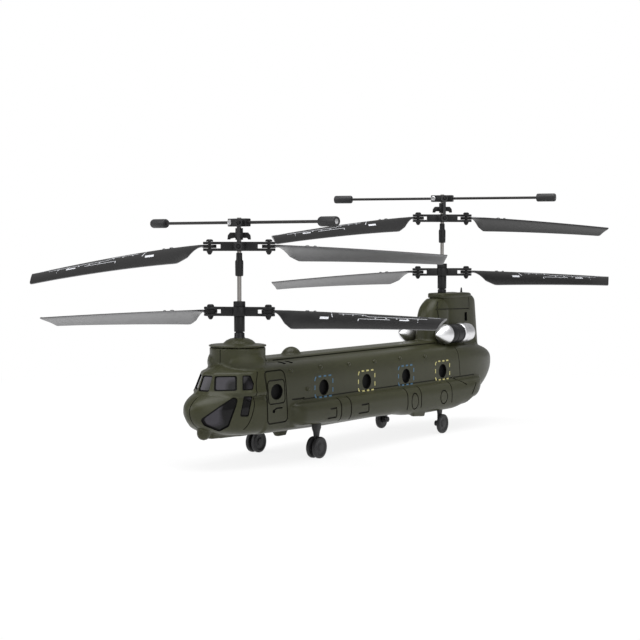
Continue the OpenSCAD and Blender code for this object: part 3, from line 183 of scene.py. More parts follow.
# Two tones and roughness each, then the specular level of a plastic or the stretch of a metal's scratches
finishes = {
    "olive_plastic": plastic("olivePlastic", (0.0265, 0.0272, 0.013), (0.0332, 0.034, 0.0174), 0.36, 0.2),
    "smoked_glazing": glass("smokedGlazing"),
    "bright_trim": metal("brightTrim", (0.84, 0.84, 0.85), (0.74, 0.74, 0.76), 0.3),
    "black_plastic": plastic("blackNylon", (0.006, 0.006, 0.0065), (0.010, 0.010, 0.0105), 0.42, 0.25),
    "wheel_plastic": plastic("wheelPlastic", (0.013, 0.013, 0.014), (0.020, 0.020, 0.021), 0.5, 0.35),
    "motor_steel": metal("plainSteel", (0.58, 0.58, 0.59), (0.46, 0.46, 0.47), 0.26),
    "pinion_brass": metal("pinionBrass", (0.62, 0.44, 0.17), (0.5, 0.35, 0.13), 0.28),
    "gear_plastic": plastic("whiteAcetal", (0.66, 0.66, 0.62), (0.74, 0.74, 0.7), 0.4),
    # Grey blade plastic for all but the upper faces: painted light from below
    "blade_plastic": plastic("bladeLitGrey", (0.10, 0.10, 0.104), (0.125, 0.125, 0.13), 0.34),
    "flybar_steel": plastic("coatedWire", (0.010, 0.009, 0.009), (0.016, 0.015, 0.015), 0.35, 0.3),
    "weight_plastic": plastic("weightPlastic", (0.012, 0.012, 0.013), (0.018, 0.018, 0.019), 0.5, 0.35),
    "board_laminate": plastic("boardLaminate", (0.012, 0.07, 0.03), (0.018, 0.095, 0.04), 0.35),
    "battery_foil": metal("batteryFoil", (0.55, 0.57, 0.6), (0.42, 0.44, 0.47), 0.32, (1.0, 1.0, 1.0)),
}
olive = finishes["olive_plastic"]
black = finishes["black_plastic"]
steel = finishes["motor_steel"]
# Darker olive for the walls and floors of grooves: painted shade in the grooves
grooveShadeOlive = plastic("grooveShadeOlive", (0.009, 0.009, 0.005), (0.012, 0.012, 0.007), 0.6, 0.2)
bluePaint = plastic("bluePaint", (0.026, 0.085, 0.15), (0.036, 0.11, 0.19), 0.5)
yellowPaint = plastic("yellowPaint", (0.36, 0.33, 0.12), (0.42, 0.38, 0.15), 0.5)
whitePaint = plastic("whitePaint", (0.46, 0.47, 0.5), (0.58, 0.59, 0.62), 0.5)
# Darker blade plastic for the upper faces, set against the grey of painted light below
bladeTop = plastic("bladeTop", (0.0075, 0.0073, 0.0075), (0.0105, 0.0103, 0.0105), 0.36, 0.13)
# Near black for the walls and floors of openings, slots and holes and the rims round the panes: painted shade
recessShadeBlack = plastic("recessShadeBlack", (0.002, 0.002, 0.002), (0.004, 0.004, 0.004), 0.6, 0.1)
shaftSteel = metal("shaftSteel", (0.30, 0.285, 0.27), (0.24, 0.23, 0.22), 0.3)
skinFinishes = [olive, recessShadeBlack, grooveShadeOlive, bluePaint, yellowPaint]
# Rim paint is the near black of painted shade, groove paint the darker olive of painted shade
slot = {"rim": 1, "groove": 2, "dashes": (3, 4)}  # places in skinFinishes

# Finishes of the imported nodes
finishOf = {s["node"]: finishes[s["material_slot"]] for s in frame["record"]["subparts"]}
for name, node in nodes.items():
    if name.endswith(("upper_screws", "lower_screws", "outer_shaft")):
        finishOf[name] = black
    elif name.endswith("inner_shaft"):
        finishOf[name] = shaftSteel
    node.data.materials.clear()
    node.data.materials.append(finishOf[name])


# Working surfaces are drawn in millimetres on scratch objects
def scratch(name, bm):
    mesh = bpy.data.meshes.new(name)
    bmesh.ops.recalc_face_normals(bm, faces=bm.faces)
    bm.to_mesh(mesh)
    bm.free()
    for material in skinFinishes:
        mesh.materials.append(material)
    made = bpy.data.objects.new(name, mesh)
    bpy.context.scene.collection.objects.link(made)
    return made


def evaluated(made):
    graph = bpy.context.evaluated_depsgraph_get()
    mesh = bpy.data.meshes.new_from_object(made.evaluated_get(graph))
    made.modifiers.clear()
    made.data = mesh


# Boolean with the solids of a bmesh, applied at once
def combine(made, operation, bm):
    tool = scratch("tool", bm)
    step = made.modifiers.new("step", "BOOLEAN")
    step.operation = operation
    step.solver = "MANIFOLD"
    step.object = tool
    evaluated(made)
    bpy.data.objects.remove(tool)


# Finished piece: scaled to metres, shaded smooth up to an angle, carried by its body
def piece(name, bm, carrier, stands, *materials):
    bmesh.ops.scale(bm, vec=(mm, mm, mm), verts=bm.verts)
    bmesh.ops.recalc_face_normals(bm, faces=bm.faces)
    mesh = bpy.data.meshes.new(name)
    bm.to_mesh(mesh)
    bm.free()
    for material in materials:
        mesh.materials.append(material)
    mesh.shade_smooth()
    mesh.set_sharp_from_angle(angle=smoothAngle)
    made = bpy.data.objects.new(name, mesh)
    bpy.context.scene.collection.objects.link(made)
    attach(made, carrier)
    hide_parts(*stands)


def mixed(a, b, share):
    return a + (b - a) * share


def clamped(value, top=1.0):
    return min(top, max(0.0, value))


def bend(value, power):
    return math.copysign(abs(value) ** power, value)


# How a rounded end closes, from 1 at its start to 0 at its tip
def closing(share, power, root):
    return (1 - share ** power) ** root


# Value at a spot in rows of (spot, value), eased between the rows
def along(rows, spot):
    if spot <= rows[0][0]:
        return rows[0][1]
    for (a, low), (b, high) in zip(rows, rows[1:]):
        if spot <= b:
            share = (spot - a) / (b - a)
            return mixed(low, high, share * share * (3 - 2 * share))
    return rows[-1][1]


# Surface from a formula of two shares, welded where it meets itself and filled at its ends
def surface(bm, across, lengthwise, formula, paint=0):
    before = len(bm.faces)
    made = bmesh.ops.create_grid(bm, x_segments=across, y_segments=lengthwise, size=1)["verts"]
    for vert in made:
        vert.co = formula((vert.co.x + 1) / 2, (vert.co.y + 1) / 2)
    bmesh.ops.remove_doubles(bm, verts=made, dist=weld)
    rim = [e for e in bm.edges if e.is_boundary]
    if rim:
        bmesh.ops.holes_fill(bm, edges=rim, sides=0)
    bm.faces.ensure_lookup_table()
    for face in bm.faces[before:]:
        face.material_index = paint


def onCircle(radius, share):
    return radius * math.cos(2 * math.pi * share), radius * math.sin(2 * math.pi * share)


# Profile of (radius, height) spun round an axis and welded at its poles
def turned(bm, profile, steps, spot=Matrix.Identity(4), paint=0):
    old = set(bm.verts)
    line = [bm.verts.new((radius, 0, height)) for radius, height in profile]
    edges = [bm.edges.new(pair) for pair in zip(line, line[1:])]
    bmesh.ops.spin(bm, geom=line + edges, cent=(0, 0, 0), axis=(0, 0, 1), angle=2 * math.pi, steps=steps,
                   use_merge=True)
    made = [v for v in bm.verts if v not in old]
    bmesh.ops.transform(bm, matrix=spot, verts=made)
    for face in {f for v in made for f in v.link_faces}:
        face.material_index = paint
    bmesh.ops.remove_doubles(bm, verts=made, dist=weld)


# Square cord through frames of four corners
def cord(bm, frames, paint):
    last = len(frames) - 1
    surface(bm, 4, last, lambda u, v: frames[round(v * last)][round(u * 4) % 4], paint)


def mirrored(points, side):
    return [Vector((side * x, y, z)) for x, y, z in points]


def hullOf(bm, points):
    bmesh.ops.convex_hull(bm, input=[bm.verts.new(p) for p in points])
    loose = [v for v in bm.verts if not v.link_faces]
    bmesh.ops.delete(bm, geom=loose, context="VERTS")


def ball(bm, spot, radii, turn=0.0):
    shape = Matrix.Translation(spot) @ Matrix.Rotation(turn, 4, "Z") @ Matrix.Diagonal((*radii, 1))
    across, tall = facets["ball"]
    bmesh.ops.create_uvsphere(bm, u_segments=across, v_segments=tall, radius=1, matrix=shape)


alongX = Matrix.Rotation(math.pi / 2, 4, "Y")
alongY = Matrix.Rotation(-math.pi / 2, 4, "X")
backY = Matrix.Rotation(math.pi / 2, 4, "X")
halfTurn = Matrix.Rotation(math.pi, 4, "Z")
acrossX = Matrix(((0, 0, 1, 0), (1, 0, 0, 0), (0, 1, 0, 0), (0, 0, 0, 1)))


# Point of a rounded section: share round it, half width, three heights, squareness below and above
def oval(share, y, wide, low, middle, high, squareLow, squareHigh):
    across, rise = onCircle(1, share)
    square = squareHigh if rise > 0 else squareLow
    tall = high - middle if rise > 0 else middle - low
    return Vector((wide * bend(across, 2 / square), y, middle + tall * bend(rise, 2 / square)))


# Point of a level section with rounded corners
def plan(share, wide, front, back, square, z):
    across, aft = onCircle(1, share)
    y = (front + back) / 2 + (back - front) / 2 * bend(aft, 2 / square)
    return Vector((wide * bend(across, 2 / square), y, z))


# Cabin: heights and half width of its section, and how the tail closes as pairs of powers
body = {"wide": 12.3, "belly": 9.5, "roof": 33.0, "middle": 21.0, "front": -70.0, "squareLow": 6.0,
        "squareHigh": 5.0, "least": 0.2, "bellyRise": 0.9, "riseFrom": -35.0, "riseLength": 40.0,
        "tailStart": 57.0, "tailTip": 94.6, "tailMiddle": 25.2, "tailSquare": 2.4, "tailWide": (2.3, 0.5),
        "tailRoof": (2.5, 0.52), "tailBelly": (1.4, 0.72)}
nearTip = 0.9995


def cabinAt(share, y, inset):
    t = clamped((y - body["tailStart"]) / (body["tailTip"] - body["tailStart"]), nearTip)
    middle = mixed(body["middle"], body["tailMiddle"], t)
    wide = body["wide"] * closing(t, *body["tailWide"])
    high = middle + (body["roof"] - middle) * closing(t, *body["tailRoof"])
    belly = body["belly"] + body["bellyRise"] * clamped((body["riseFrom"] - y) / body["riseLength"])
    low = middle - (middle - belly) * closing(t, *body["tailBelly"])
    least = body["least"]
    return oval(share, y, max(wide - inset, least), min(low + inset, middle - least), middle,
                max(high - inset, middle + least), mixed(body["squareLow"], body["tailSquare"], t),
                mixed(body["squareHigh"], body["tailSquare"], t))


def cabin(u, v):
    return cabinAt(u, mixed(body["front"], body["tailTip"], math.sin(v * math.pi / 2)), 0)


nose = {"tip": -94.0, "end": -68.4, "back": -58.0, "wide": 12.25, "middle": 19.3, "rise": 7.9, "low": 10.3,
        "closeWide": (1.6, 0.52), "closeHigh": (2.0, 0.5), "closeLow": (2.6, 0.5), "squareLow": (4.4, 2.2),
        "squareHigh": 2.3}


def noseBulb(u, v):
    y = mixed(nose["tip"], nose["back"], 1 - math.cos(v * math.pi / 2))
    s = clamped((y - nose["end"]) / (nose["tip"] - nose["end"]), nearTip)
    middle = nose["middle"]
    high = middle + nose["rise"] * closing(s, *nose["closeHigh"])
    low = middle - (middle - nose["low"]) * closing(s, *nose["closeLow"])
    return oval(u, y, nose["wide"] * closing(s, *nose["closeWide"]), low, middle, high,
                mixed(*nose["squareLow"], s), nose["squareHigh"])


# Windscreen block: height, then port-side corners from the centre pane round to the cabin
screen = {"rows": [(23.4, (2.4, -87.2), (9.1, -80.4), (11.4, -75.6), (12.25, -71.0)),
                   (25.0, (2.4, -87.1), (9.2, -80.5), (11.2, -75.6), (12.2, -71.0)),
                   (30.8, (2.2, -84.4), (7.8, -78.6), (10.1, -74.5), (11.2, -70.0)),
                   (32.2, (1.6, -81.0), (5.0, -75.4), (7.4, -72.9), (9.6, -69.0)),
                   (33.0, (1.2, -78.6), (3.8, -74.6), (5.8, -72.0), (7.6, -68.0))],
          "back": [(12.0, -64.0, 23.4), (12.2, -64.0, 27.0), (6.0, -62.0, 33.0)],
          "sillHeights": (24.15, 24.85), "sillOut": 0.3, "sillLead": 0.35, "sillBack": (12.2, -66.0)}


def addScreen(bm):
    block = [(x, y, z) for z, *corners in screen["rows"] for x, y in corners] + screen["back"]
    edge = [(x + screen["sillOut"], y - screen["sillLead"]) for x, y in screen["rows"][0][1:]]
    sill = [(x, y, z) for z in screen["sillHeights"] for x, y in edge + [screen["sillBack"]]]
    for points in (block, sill):
        hullOf(bm, mirrored(points, 1) + mirrored(points, -1))


# Front pylon: a drum set ahead of the mast, with a swelling on each side
drum = {"lead": 1.0, "rings": [(28.0, 9.6), (31.5, 9.4), (32.6, 9.2), (34.0, 9.1), (36.0, 9.05), (38.4, 9.1)],
        "swelling": (6.4, -3.4, 33.5), "swellingRadii": (2.7, 6.2, 3.6), "swellingTurn": 35.0}


def drumAt(u, v):
    z = mixed(drum["rings"][0][0], drum["rings"][-1][0], v)
    x, y = onCircle(along(drum["rings"], z), u)
    return Vector((x, frontY - drum["lead"] + y, z))


# Rear pylon: sizes at its base and top, and the fairing that leads up to it
pylon = {"base": 28.0, "top": 50.95, "front": (6.0, 4.8), "back": (23.2, 21.1), "wide": (6.0, 4.85),
         "taper": 0.8, "square": 3.6, "headFrom": 0.86, "headDraw": 2.5}
fairing = {"top": 50.2, "front": (16.3, 14.4), "back": 2.0, "wide": (5.4, 4.4), "square": 2.6,
           "curlFrom": 0.55, "curl": 5.4, "curlPower": 2.8, "pinchFrom": 0.8, "pinch": 1.4}


def pylonAt(u, v, inset=0.0, extra=0.0):
    z = mixed(pylon["base"], pylon["top"] + extra, v)
    share = (z - pylon["base"]) / (pylon["top"] - pylon["base"])
    top = clamped((share - pylon["headFrom"]) / (1 - pylon["headFrom"]))
    front = rearY - mixed(*pylon["front"], share) + inset
    back = rearY + mixed(*pylon["back"], share) - pylon["headDraw"] * top ** 3 - inset
    return plan(u, mixed(*pylon["wide"], share ** pylon["taper"]) - inset, front, back, pylon["square"], z)


def fairingAt(u, v):
    curl = max(0.0, v - fairing["curlFrom"]) / (1 - fairing["curlFrom"])
    pinch = max(0.0, v - fairing["pinchFrom"]) / (1 - fairing["pinchFrom"])
    front = rearY - mixed(*fairing["front"], v) + fairing["curl"] * curl ** fairing["curlPower"]
    wide = mixed(*fairing["wide"], v) - fairing["pinch"] * pinch ** 2
    z = mixed(pylon["base"], fairing["top"], v)
    return plan(u, wide, front, rearY + fairing["back"], fairing["square"], z)


sponson = {"front": -58.2, "back": 71.9, "out": 15.5, "inner": 9.0, "top": 19.8, "square": 3.2,
           "noseLength": 7.0, "noseClose": 2.4, "noseLift": 3.0, "noseFall": 0.8,
           "tailLength": 12.0, "tailClose": 2.2, "draw": 6.0,
           "bottom": [(-56, 11.4), (-20, 10.6), (5, 10.0), (16, 8.9), (24, 8.4), (47, 8.4), (56, 9.4),
                      (63, 11.4), (71.9, 15.8)]}


def sponsonAt(side):
    def point(u, v):
        y = mixed(sponson["front"], sponson["back"], (1 - math.cos(math.pi * v)) / 2)
        ahead = 1 - clamped((y - sponson["front"]) / sponson["noseLength"])
        behind = 1 - clamped((sponson["back"] - y) / sponson["tailLength"])
        swell = closing(ahead, sponson["noseClose"], 0.5) * closing(behind, sponson["tailClose"], 0.5)
        out = sponson["out"] - (1 - swell) * sponson["draw"]
        low = along(sponson["bottom"], y) + sponson["noseLift"] * ahead ** 2
        high = sponson["top"] - sponson["noseFall"] * ahead ** 2
        across, rise = onCircle(1, u)
        x = mixed(sponson["inner"], out, bend(across, 2 / sponson["square"]))
        z = (low + high) / 2 + (high - low) / 2 * bend(rise, 2 / sponson["square"])
        return Vector((side * x, y, z))
    return point


# Small forms: sections of (x, z) between two places, round lumps, the keel, and feet as widths and ends
shelf = {"ends": (-11.0, 14.0), "section": [(3.0, 32.0), (8.6, 32.0), (7.4, 34.6), (3.0, 35.2)]}
spine = {"front": 8.0, "back": -12.0, "section": [(5.2, 32.0), (5.2, 33.7), (4.3, 34.2)]}
hump = {"behind": 28.6, "height": 33.4, "radii": (3.2, 4.0, 3.4)}
chin = {"spot": (0.0, -86.9, 12.0), "radii": (2.1, 2.5, 2.3)}
keel = [(1.5, -84.5, 9.9), (1.5, -66.0, 9.15), (1.9, -84.5, 12.0), (1.9, -65.0, 10.8)]
feet = [[((3.0, 5.4), ((-56.0, 11.0), (-48.0, 11.0))), ((3.3, 5.1), ((-54.2, 7.9), (-49.6, 7.9)))],
        [((12.0, 14.4), ((16.0, 10.0), (25.5, 9.6))), ((12.4, 14.0), ((18.0, 8.3), (25.2, 7.7)))]]
melt = {"voxel": 0.36, "passes": 3, "factor": 0.5}


# The whole outside of the body as overlapping solids, melted into one skin
def bodyBlank():
    bm = bmesh.new()
    surface(bm, *facets["cabin"], cabin)
    surface(bm, *facets["nose"], noseBulb)
    addScreen(bm)
    surface(bm, *facets["drum"], drumAt)
    surface(bm, *facets["pylon"], pylonAt)
    surface(bm, *facets["fairing"], fairingAt)
    plates = [(x, rearY + y, z) for y in shelf["ends"] for x, z in shelf["section"]]
    for side in bothHands:
        x, y, z = drum["swelling"]
        turn = -side * math.radians(drum["swellingTurn"])
        ball(bm, (side * x, frontY - drum["lead"] + y, z), drum["swellingRadii"], turn)
        surface(bm, *facets["sponson"], sponsonAt(side))
        hullOf(bm, mirrored(plates, side))
        for foot in feet:
            corners = [(x, y, z) for wide, ends in foot for x in wide for y, z in ends]
            hullOf(bm, mirrored(corners, side))
    spineEnds = (frontY + spine["front"], rearY + spine["back"])
    ridge = [(x, y, z) for y in spineEnds for x, z in spine["section"]]
    for points in (ridge, keel):
        hullOf(bm, mirrored(points, 1) + mirrored(points, -1))
    ball(bm, (0, frontY + hump["behind"], hump["height"]), hump["radii"])
    ball(bm, chin["spot"], chin["radii"])
    blank = scratch("blank", bm)
    remesh = blank.modifiers.new("remesh", "REMESH")
    remesh.mode = "VOXEL"
    remesh.voxel_size = melt["voxel"]
    evaluated(blank)
    bm = bmesh.new()
    bm.from_mesh(blank.data)
    for _ in range(melt["passes"]):
        bmesh.ops.smooth_vert(bm, verts=bm.verts, factor=melt["factor"], use_axis_x=True, use_axis_y=True,
                              use_axis_z=True)
    bm.to_mesh(blank.data)
    skin = BVHTree.FromBMesh(bm)
    bm.free()
    return blank, skin


blank, skin = bodyBlank()
print("body blank:", len(blank.data.polygons), "faces")

# Level looks as angles from +X towards the nose, and the look from above
flank = 0.0
photoLook = math.radians(55.2)
straightAhead = math.pi / 2
above = None
farOff = 200.0


# Where a look meets the skin, from its place across and its height, or from x and y for the look from above
def landing(look, a, b):
    if look is above:
        out = Vector((0, 0, 1))
        start = Vector((a, b, farOff))
    else:
        out = Vector((math.cos(look), -math.sin(look), 0))
        start = farOff * out + a * Vector((math.sin(look), math.cos(look), 0)) + Vector((0, 0, b))
    spot, normal, *_ = skin.ray_cast(start, -out)
    return spot, normal


# Outline with each corner rounded to one radius
def rounded(corners, radius, steps=6):
    points = []
    count = len(corners)
    for i, corner in enumerate(corners):
        here = Vector(corner)
        before = (Vector(corners[i - 1]) - here).normalized()
        after = (Vector(corners[(i + 1) % count]) - here).normalized()
        half = before.angle(after) / 2
        reach = radius / math.tan(half)
        middle = here + (before + after).normalized() * radius / math.sin(half)
        start = here + before * reach - middle
        end = here + after * reach - middle
        points += [middle + start.slerp(end, k / steps).normalized() * radius for k in range(steps + 1)]
    return points


def denser(points, gap, closed):
    result = []
    count = len(points)
    for i in range(count if closed else count - 1):
        a = Vector(points[i])
        b = Vector(points[(i + 1) % count])
        parts = max(1, round((b - a).length / gap))
        result += [a.lerp(b, k / parts) for k in range(parts)]
    return result if closed else result + [Vector(points[-1])]


def ring(y, z, wide, tall, count=32):
    circle = [onCircle(1, k / count) for k in range(count)]
    return [Vector((y + wide * a, z + tall * b)) for a, b in circle]


cutters = {"gap": 0.8, "lift": 0.8, "above": 1.0}  # spacing of a groove's points, and heights over the skin


# Groove cutters: square cords laid along paths on the skin; their cut faces take the groove slot's darker olive,
# painted shade, unless given another paint
def groove(bm, paths, width, depth, look=flank, closed=False, paint=slot["groove"], sides=bothHands,
           lift=cutters["lift"]):
    for path in paths:
        spots = [landing(look, *p) for p in denser(path, cutters["gap"], closed)]
        spots = [hit for hit in spots if hit[0]]
        count = len(spots)
        frames = []
        for i, (spot, normal) in enumerate(spots):
            before = spots[i - 1][0] if i or closed else spot
            after = spots[(i + 1) % count][0] if i < count - 1 or closed else spot
            across = normal.cross(after - before).normalized() * width / 2
            top = spot + normal * lift
            floor = spot - normal * depth
            frames.append([top + across, top - across, floor - across, floor + across])
        if closed:
            frames.append(frames[0])
        for side in sides:
            cord(bm, [mirrored(corners, side) for corners in frames], paint)


# Lens that follows the skin inside an outline, between two offsets along the look
def lens(bm, look, outline, top, bottom, grow=1.0, paint=0, sides=bothHands, rings=7):
    outline = [Vector(p) for p in outline]
    centre = sum(outline, Vector((0, 0))) / len(outline)
    count = len(outline)
    out = Vector((math.cos(look), -math.sin(look), 0))
    last = 2 * rings + 1
    rows = []
    for k in range(rings + 1):
        share = k / rings * grow
        rows.append([landing(look, *(centre + (p - centre) * share))[0] for p in outline])
    for side in sides:
        def point(u, v):
            k = round(v * last)
            spot = rows[min(k, last - k)][round(u * count) % count] + out * (top if k <= rings else bottom)
            return Vector((side * spot.x, spot.y, spot.z))
        surface(bm, count, last, point, paint)


# Openings and marks on the port side as (place, height); the starboard side is their mirror image
windows = {"first": -34.5, "pitch": 26.4, "count": 4, "height": 23.4, "wide": 2.85, "tall": 2.65,
           "depth": 1.05}
windowRows = [midY + windows["first"] + windows["pitch"] * k for k in range(windows["count"])]
door = {"frame": [(-70.3, 30.8), (-60.1, 30.8), (-58.6, 13.9), (-69.5, 13.9)], "frameCorner": 1.5,
        "panel": [(-69.7, 27.8), (-60.6, 27.8), (-60.1, 20.2), (-69.0, 20.2)], "panelCorner": 1.3,
        "window": ring(-64.7, 24.0, 3.2, 2.55), "windowDepth": 1.1,
        "handle": [(-66.3, 18.1), (-64.6, 18.7), (-61.6, 18.6)],
        "latch": ring(-66.3, 17.8, 0.75, 0.6, count=16), "latchDepth": 0.5}
straps = {"places": [-32.0, -26.0, 11.0, 20.5, 43.0], "top": 19.4, "bottom": 11.4}
# Grooves take the darker olive of painted shade unless they name another paint
grooves = {
    "doorFrame": {"paths": [rounded(door["frame"], door["frameCorner"])], "width": 0.5, "depth": 0.4,
                  "closed": True},
    "doorPanel": {"paths": [rounded(door["panel"], door["panelCorner"])], "width": 0.45, "depth": 0.35,
                  "closed": True},
    # The door handle, roof slots and pylon slot are cut in the rim paint, painted black shade
    "doorHandle": {"paths": [door["handle"]], "width": 0.5, "depth": 0.4, "paint": slot["rim"]},
    "cockpitSeam": {"paths": [[(-72.6, 31.0), (-74.0, 27.6), (-74.7, 24.4), (-75.4, 20.4), (-76.4, 17.4),
                               (-77.5, 14.9), (-78.6, 12.9)]], "width": 0.35, "depth": 0.3},
    "tailSeam": {"paths": [[(53.4, 31.6), (54.0, 26.0), (54.7, 20.4)]], "width": 0.35, "depth": 0.3},
    "roofSlots": {"paths": [[(6.4, -56.4), (9.2, -55.8)], [(6.4, -52.4), (9.2, -51.8)]], "width": 1.8,
                  "depth": 0.8, "look": above, "paint": slot["rim"]},
    "spineEdge": {"paths": [[(5.25, -57.5), (5.25, 47.5)]], "width": 0.45, "depth": 0.35, "look": above},
    "sponsonEdge": {"paths": [[(-50.0, 20.4), (66.0, 20.4)]], "width": 0.4, "depth": 0.25},
    "straps": {"paths": [[(y, straps["top"]), (y, straps["bottom"])] for y in straps["places"]],
               "width": 0.55, "depth": 0.4},
    "brackets": {"paths": [[(-40.0, 13.2), (-34.9, 13.2), (-34.9, 16.3), (-38.6, 16.3)],
                           [(-21.2, 13.2), (-15.0, 13.2), (-15.0, 16.0), (-19.6, 16.0)]],
                 "width": 0.6, "depth": 0.45},
    "hatches": {"paths": [ring(16.1, 14.2, 2.3, 2.9), ring(37.0, 14.0, 2.5, 2.5)], "width": 0.5, "depth": 0.4,
                "closed": True},
    "slits": {"paths": [[(48.5, 20.6), (54.8, 17.3)], [(58.4, 13.2), (62.2, 17.6)],
                        [(-56.3, 20.8), (-49.2, 20.7)]], "width": 0.55, "depth": 0.4},
    "pylonLines": {"paths": [[(50.3, 46.3), (73.9, 45.8)], [(74.5, 45.2), (74.5, 50.4)],
                             [(53.2, 49.2), (51.6, 47.6), (51.0, 45.6), (51.3, 43.6), (51.6, 40.0)]],
                   "width": 0.4, "depth": 0.3},
    "pylonSlot": {"paths": [[(71.5, 41.0), (71.5, 44.4)]], "width": 2.0, "depth": 0.7, "paint": slot["rim"]},
    "parting": {"paths": [[(0.0, 33.4), (0.0, 37.9)], [(0.0, 13.4), (0.0, 23.6)]], "width": 0.3, "depth": 0.2,
                "look": straightAhead, "sides": (1,)},
}

# Cockpit panes: look, corners, corner radius and sides
panes = {
    "corner": (photoLook, [(-46.3, 25.4), (-39.1, 25.4), (-39.2, 30.0), (-46.2, 30.0)], 0.6, bothHands),
    "centre": (straightAhead, [(-2.1, 25.2), (2.1, 25.2), (1.9, 30.1), (-1.9, 30.1)], 0.5, (1,)),
    "side": (photoLook, [(-37.4, 25.4), (-34.2, 25.4), (-33.9, 27.4), (-35.0, 30.0), (-37.5, 30.1)], 0.5,
             bothHands),
    "low": (photoLook, [(-38.1, 17.3), (-35.5, 17.1), (-34.3, 23.5), (-37.0, 23.6)], 0.5, bothHands),
    "chin": (photoLook, [(-50.3, 17.0), (-49.2, 15.0), (-44.6, 12.7), (-41.5, 14.4), (-39.3, 20.5),
                         (-38.7, 22.9), (-40.2, 23.5), (-44.6, 20.9)], 1.0, bothHands),
}
paneCut = {"above": 1.2, "below": -2.4, "gap": 0.5}

# Openings in one flank or the belly, and the hollow inside
screws = {"places": [(-50.89, 27.5), (-7.34, 28.0), (42.71, 27.5), (77.16, 25.0)], "radius": 1.65,
          "from": -20.0, "to": -5.0}
charge = {"behind": -4.0, "radius": 2.5, "from": 4.0, "to": 13.0}
switch = {"behind": 13.0, "height": 9.0, "sizes": (2.0, 4.0, 8.0)}
hollow = {"wall": 1.3, "front": -73.0, "frontWall": 1.2, "frontShare": 0.05, "back": 86.0,
          "drum": [(0, 12.0), (8.6, 12.0), (8.6, 28.0), (7.5, 29.0), (7.5, 40.0), (0, 40.0)],
          "pylonWall": 1.4, "pylonRise": 1.0}


def paneOutline(corners, radius):
    return denser(rounded(corners, radius), paneCut["gap"], True)


# Cylinder between two heights, given as a dictionary with radius, from and to, with its walls in the near black of
# painted shade
def shaftHole(bm, hole, steps, spot):
    radius, low, high = hole["radius"], hole["from"], hole["to"]
    turned(bm, [(0, low), (radius, low), (radius, high), (0, high)], steps, spot, slot["rim"])


def roomAt(u, v):
    wall = hollow["wall"] + (hollow["frontWall"] if v < hollow["frontShare"] else 0)
    return cabinAt(u, mixed(hollow["front"], hollow["back"], v), wall)


def cutBody():
    bm = bmesh.new()
    # Cut walls and floors of panes, windows, the door window and latch take the rim paint: painted shade
    rim = slot["rim"]
    over = cutters["above"]
    for look, corners, radius, sides in panes.values():
        outline = paneOutline(corners, radius)
        lens(bm, look, outline, paneCut["above"], paneCut["below"], paint=rim, sides=sides)
    for y in windowRows:
        outline = ring(y, windows["height"], windows["wide"], windows["tall"])
        lens(bm, flank, outline, over, -windows["depth"], paint=rim)
    lens(bm, flank, door["window"], over, -door["windowDepth"], paint=rim)
    lens(bm, flank, door["latch"], over, -door["latchDepth"], paint=rim, rings=2)
    combine(blank, "DIFFERENCE", bm)
    bm = bmesh.new()
    for values in grooves.values():
        groove(bm, **values)
    combine(blank, "DIFFERENCE", bm)
    bm = bmesh.new()
    for y, z in screws["places"]:
        shaftHole(bm, screws, flats["screwWell"], Matrix.Translation((0, y, z)) @ alongX)
    shaftHole(bm, charge, flats["socket"], Matrix.Translation((0, midY + charge["behind"], 0)))
    slotSpot = Matrix.Translation((0, midY + switch["behind"], switch["height"]))
    bmesh.ops.create_cube(bm, size=1, matrix=slotSpot @ Matrix.Diagonal((*switch["sizes"], 1)))
    combine(blank, "DIFFERENCE", bm)
    bm = bmesh.new()
    surface(bm, *facets["room"], roomAt)
    combine(blank, "DIFFERENCE", bm)
    bm = bmesh.new()
    turned(bm, hollow["drum"], flats["drumRoom"], Matrix.Translation((0, frontY, 0)))
    combine(blank, "DIFFERENCE", bm)
    bm = bmesh.new()
    surface(bm, *facets["pylonRoom"], lambda u, v: pylonAt(u, v, hollow["pylonWall"], hollow["pylonRise"]))
    combine(blank, "DIFFERENCE", bm)


cutBody()
print("body cut:", len(blank.data.polygons), "faces")

hooks = {"places": [(-55.9, 30.2), (-38.9, 30.3), (-21.9, 30.1), (-5.6, 30.0), (11.5, 30.1), (29.0, 29.7),
                    (-47.5, 23.6)],
         "radii": (0.6, 0.95, 0.7)}
dash = {"half": (5.3, 3.5), "middle": 23.7, "corner": 1.2, "length": 1.8, "gap": 1.3, "width": 0.52,
        "depth": 0.2, "lift": 0.03, "step": 0.1, "stride": 5, "screwRoom": 3.0}
halves = {"gap": 0.03, "sizes": (100.0, 260.0, 120.0), "height": 30.0}


# Dashed square round one cabin window, left open at the screw wells
def dashedSquare(bm, y, side, paint):
    wide, tall = dash["half"]
    corners = [(y + a * wide, dash["middle"] + b * tall) for a, b in ((-1, -1), (1, -1), (1, 1), (-1, 1))]
    edge = denser(rounded(corners, dash["corner"]), dash["step"], True)
    count = round(len(edge) * dash["step"] / (dash["length"] + dash["gap"]))
    reach = round(dash["length"] / dash["step"]) + 1
    for n in range(count):
        start = round(n * len(edge) / count)
        path = [edge[(start + i) % len(edge)] for i in range(0, reach, dash["stride"])]
        room = min((path[1] - Vector(screw)).length for screw in screws["places"])
        if side > 0 or room > dash["screwRoom"]:
            groove(bm, [path], dash["width"], dash["depth"], paint=paint, sides=(side,), lift=dash["lift"])


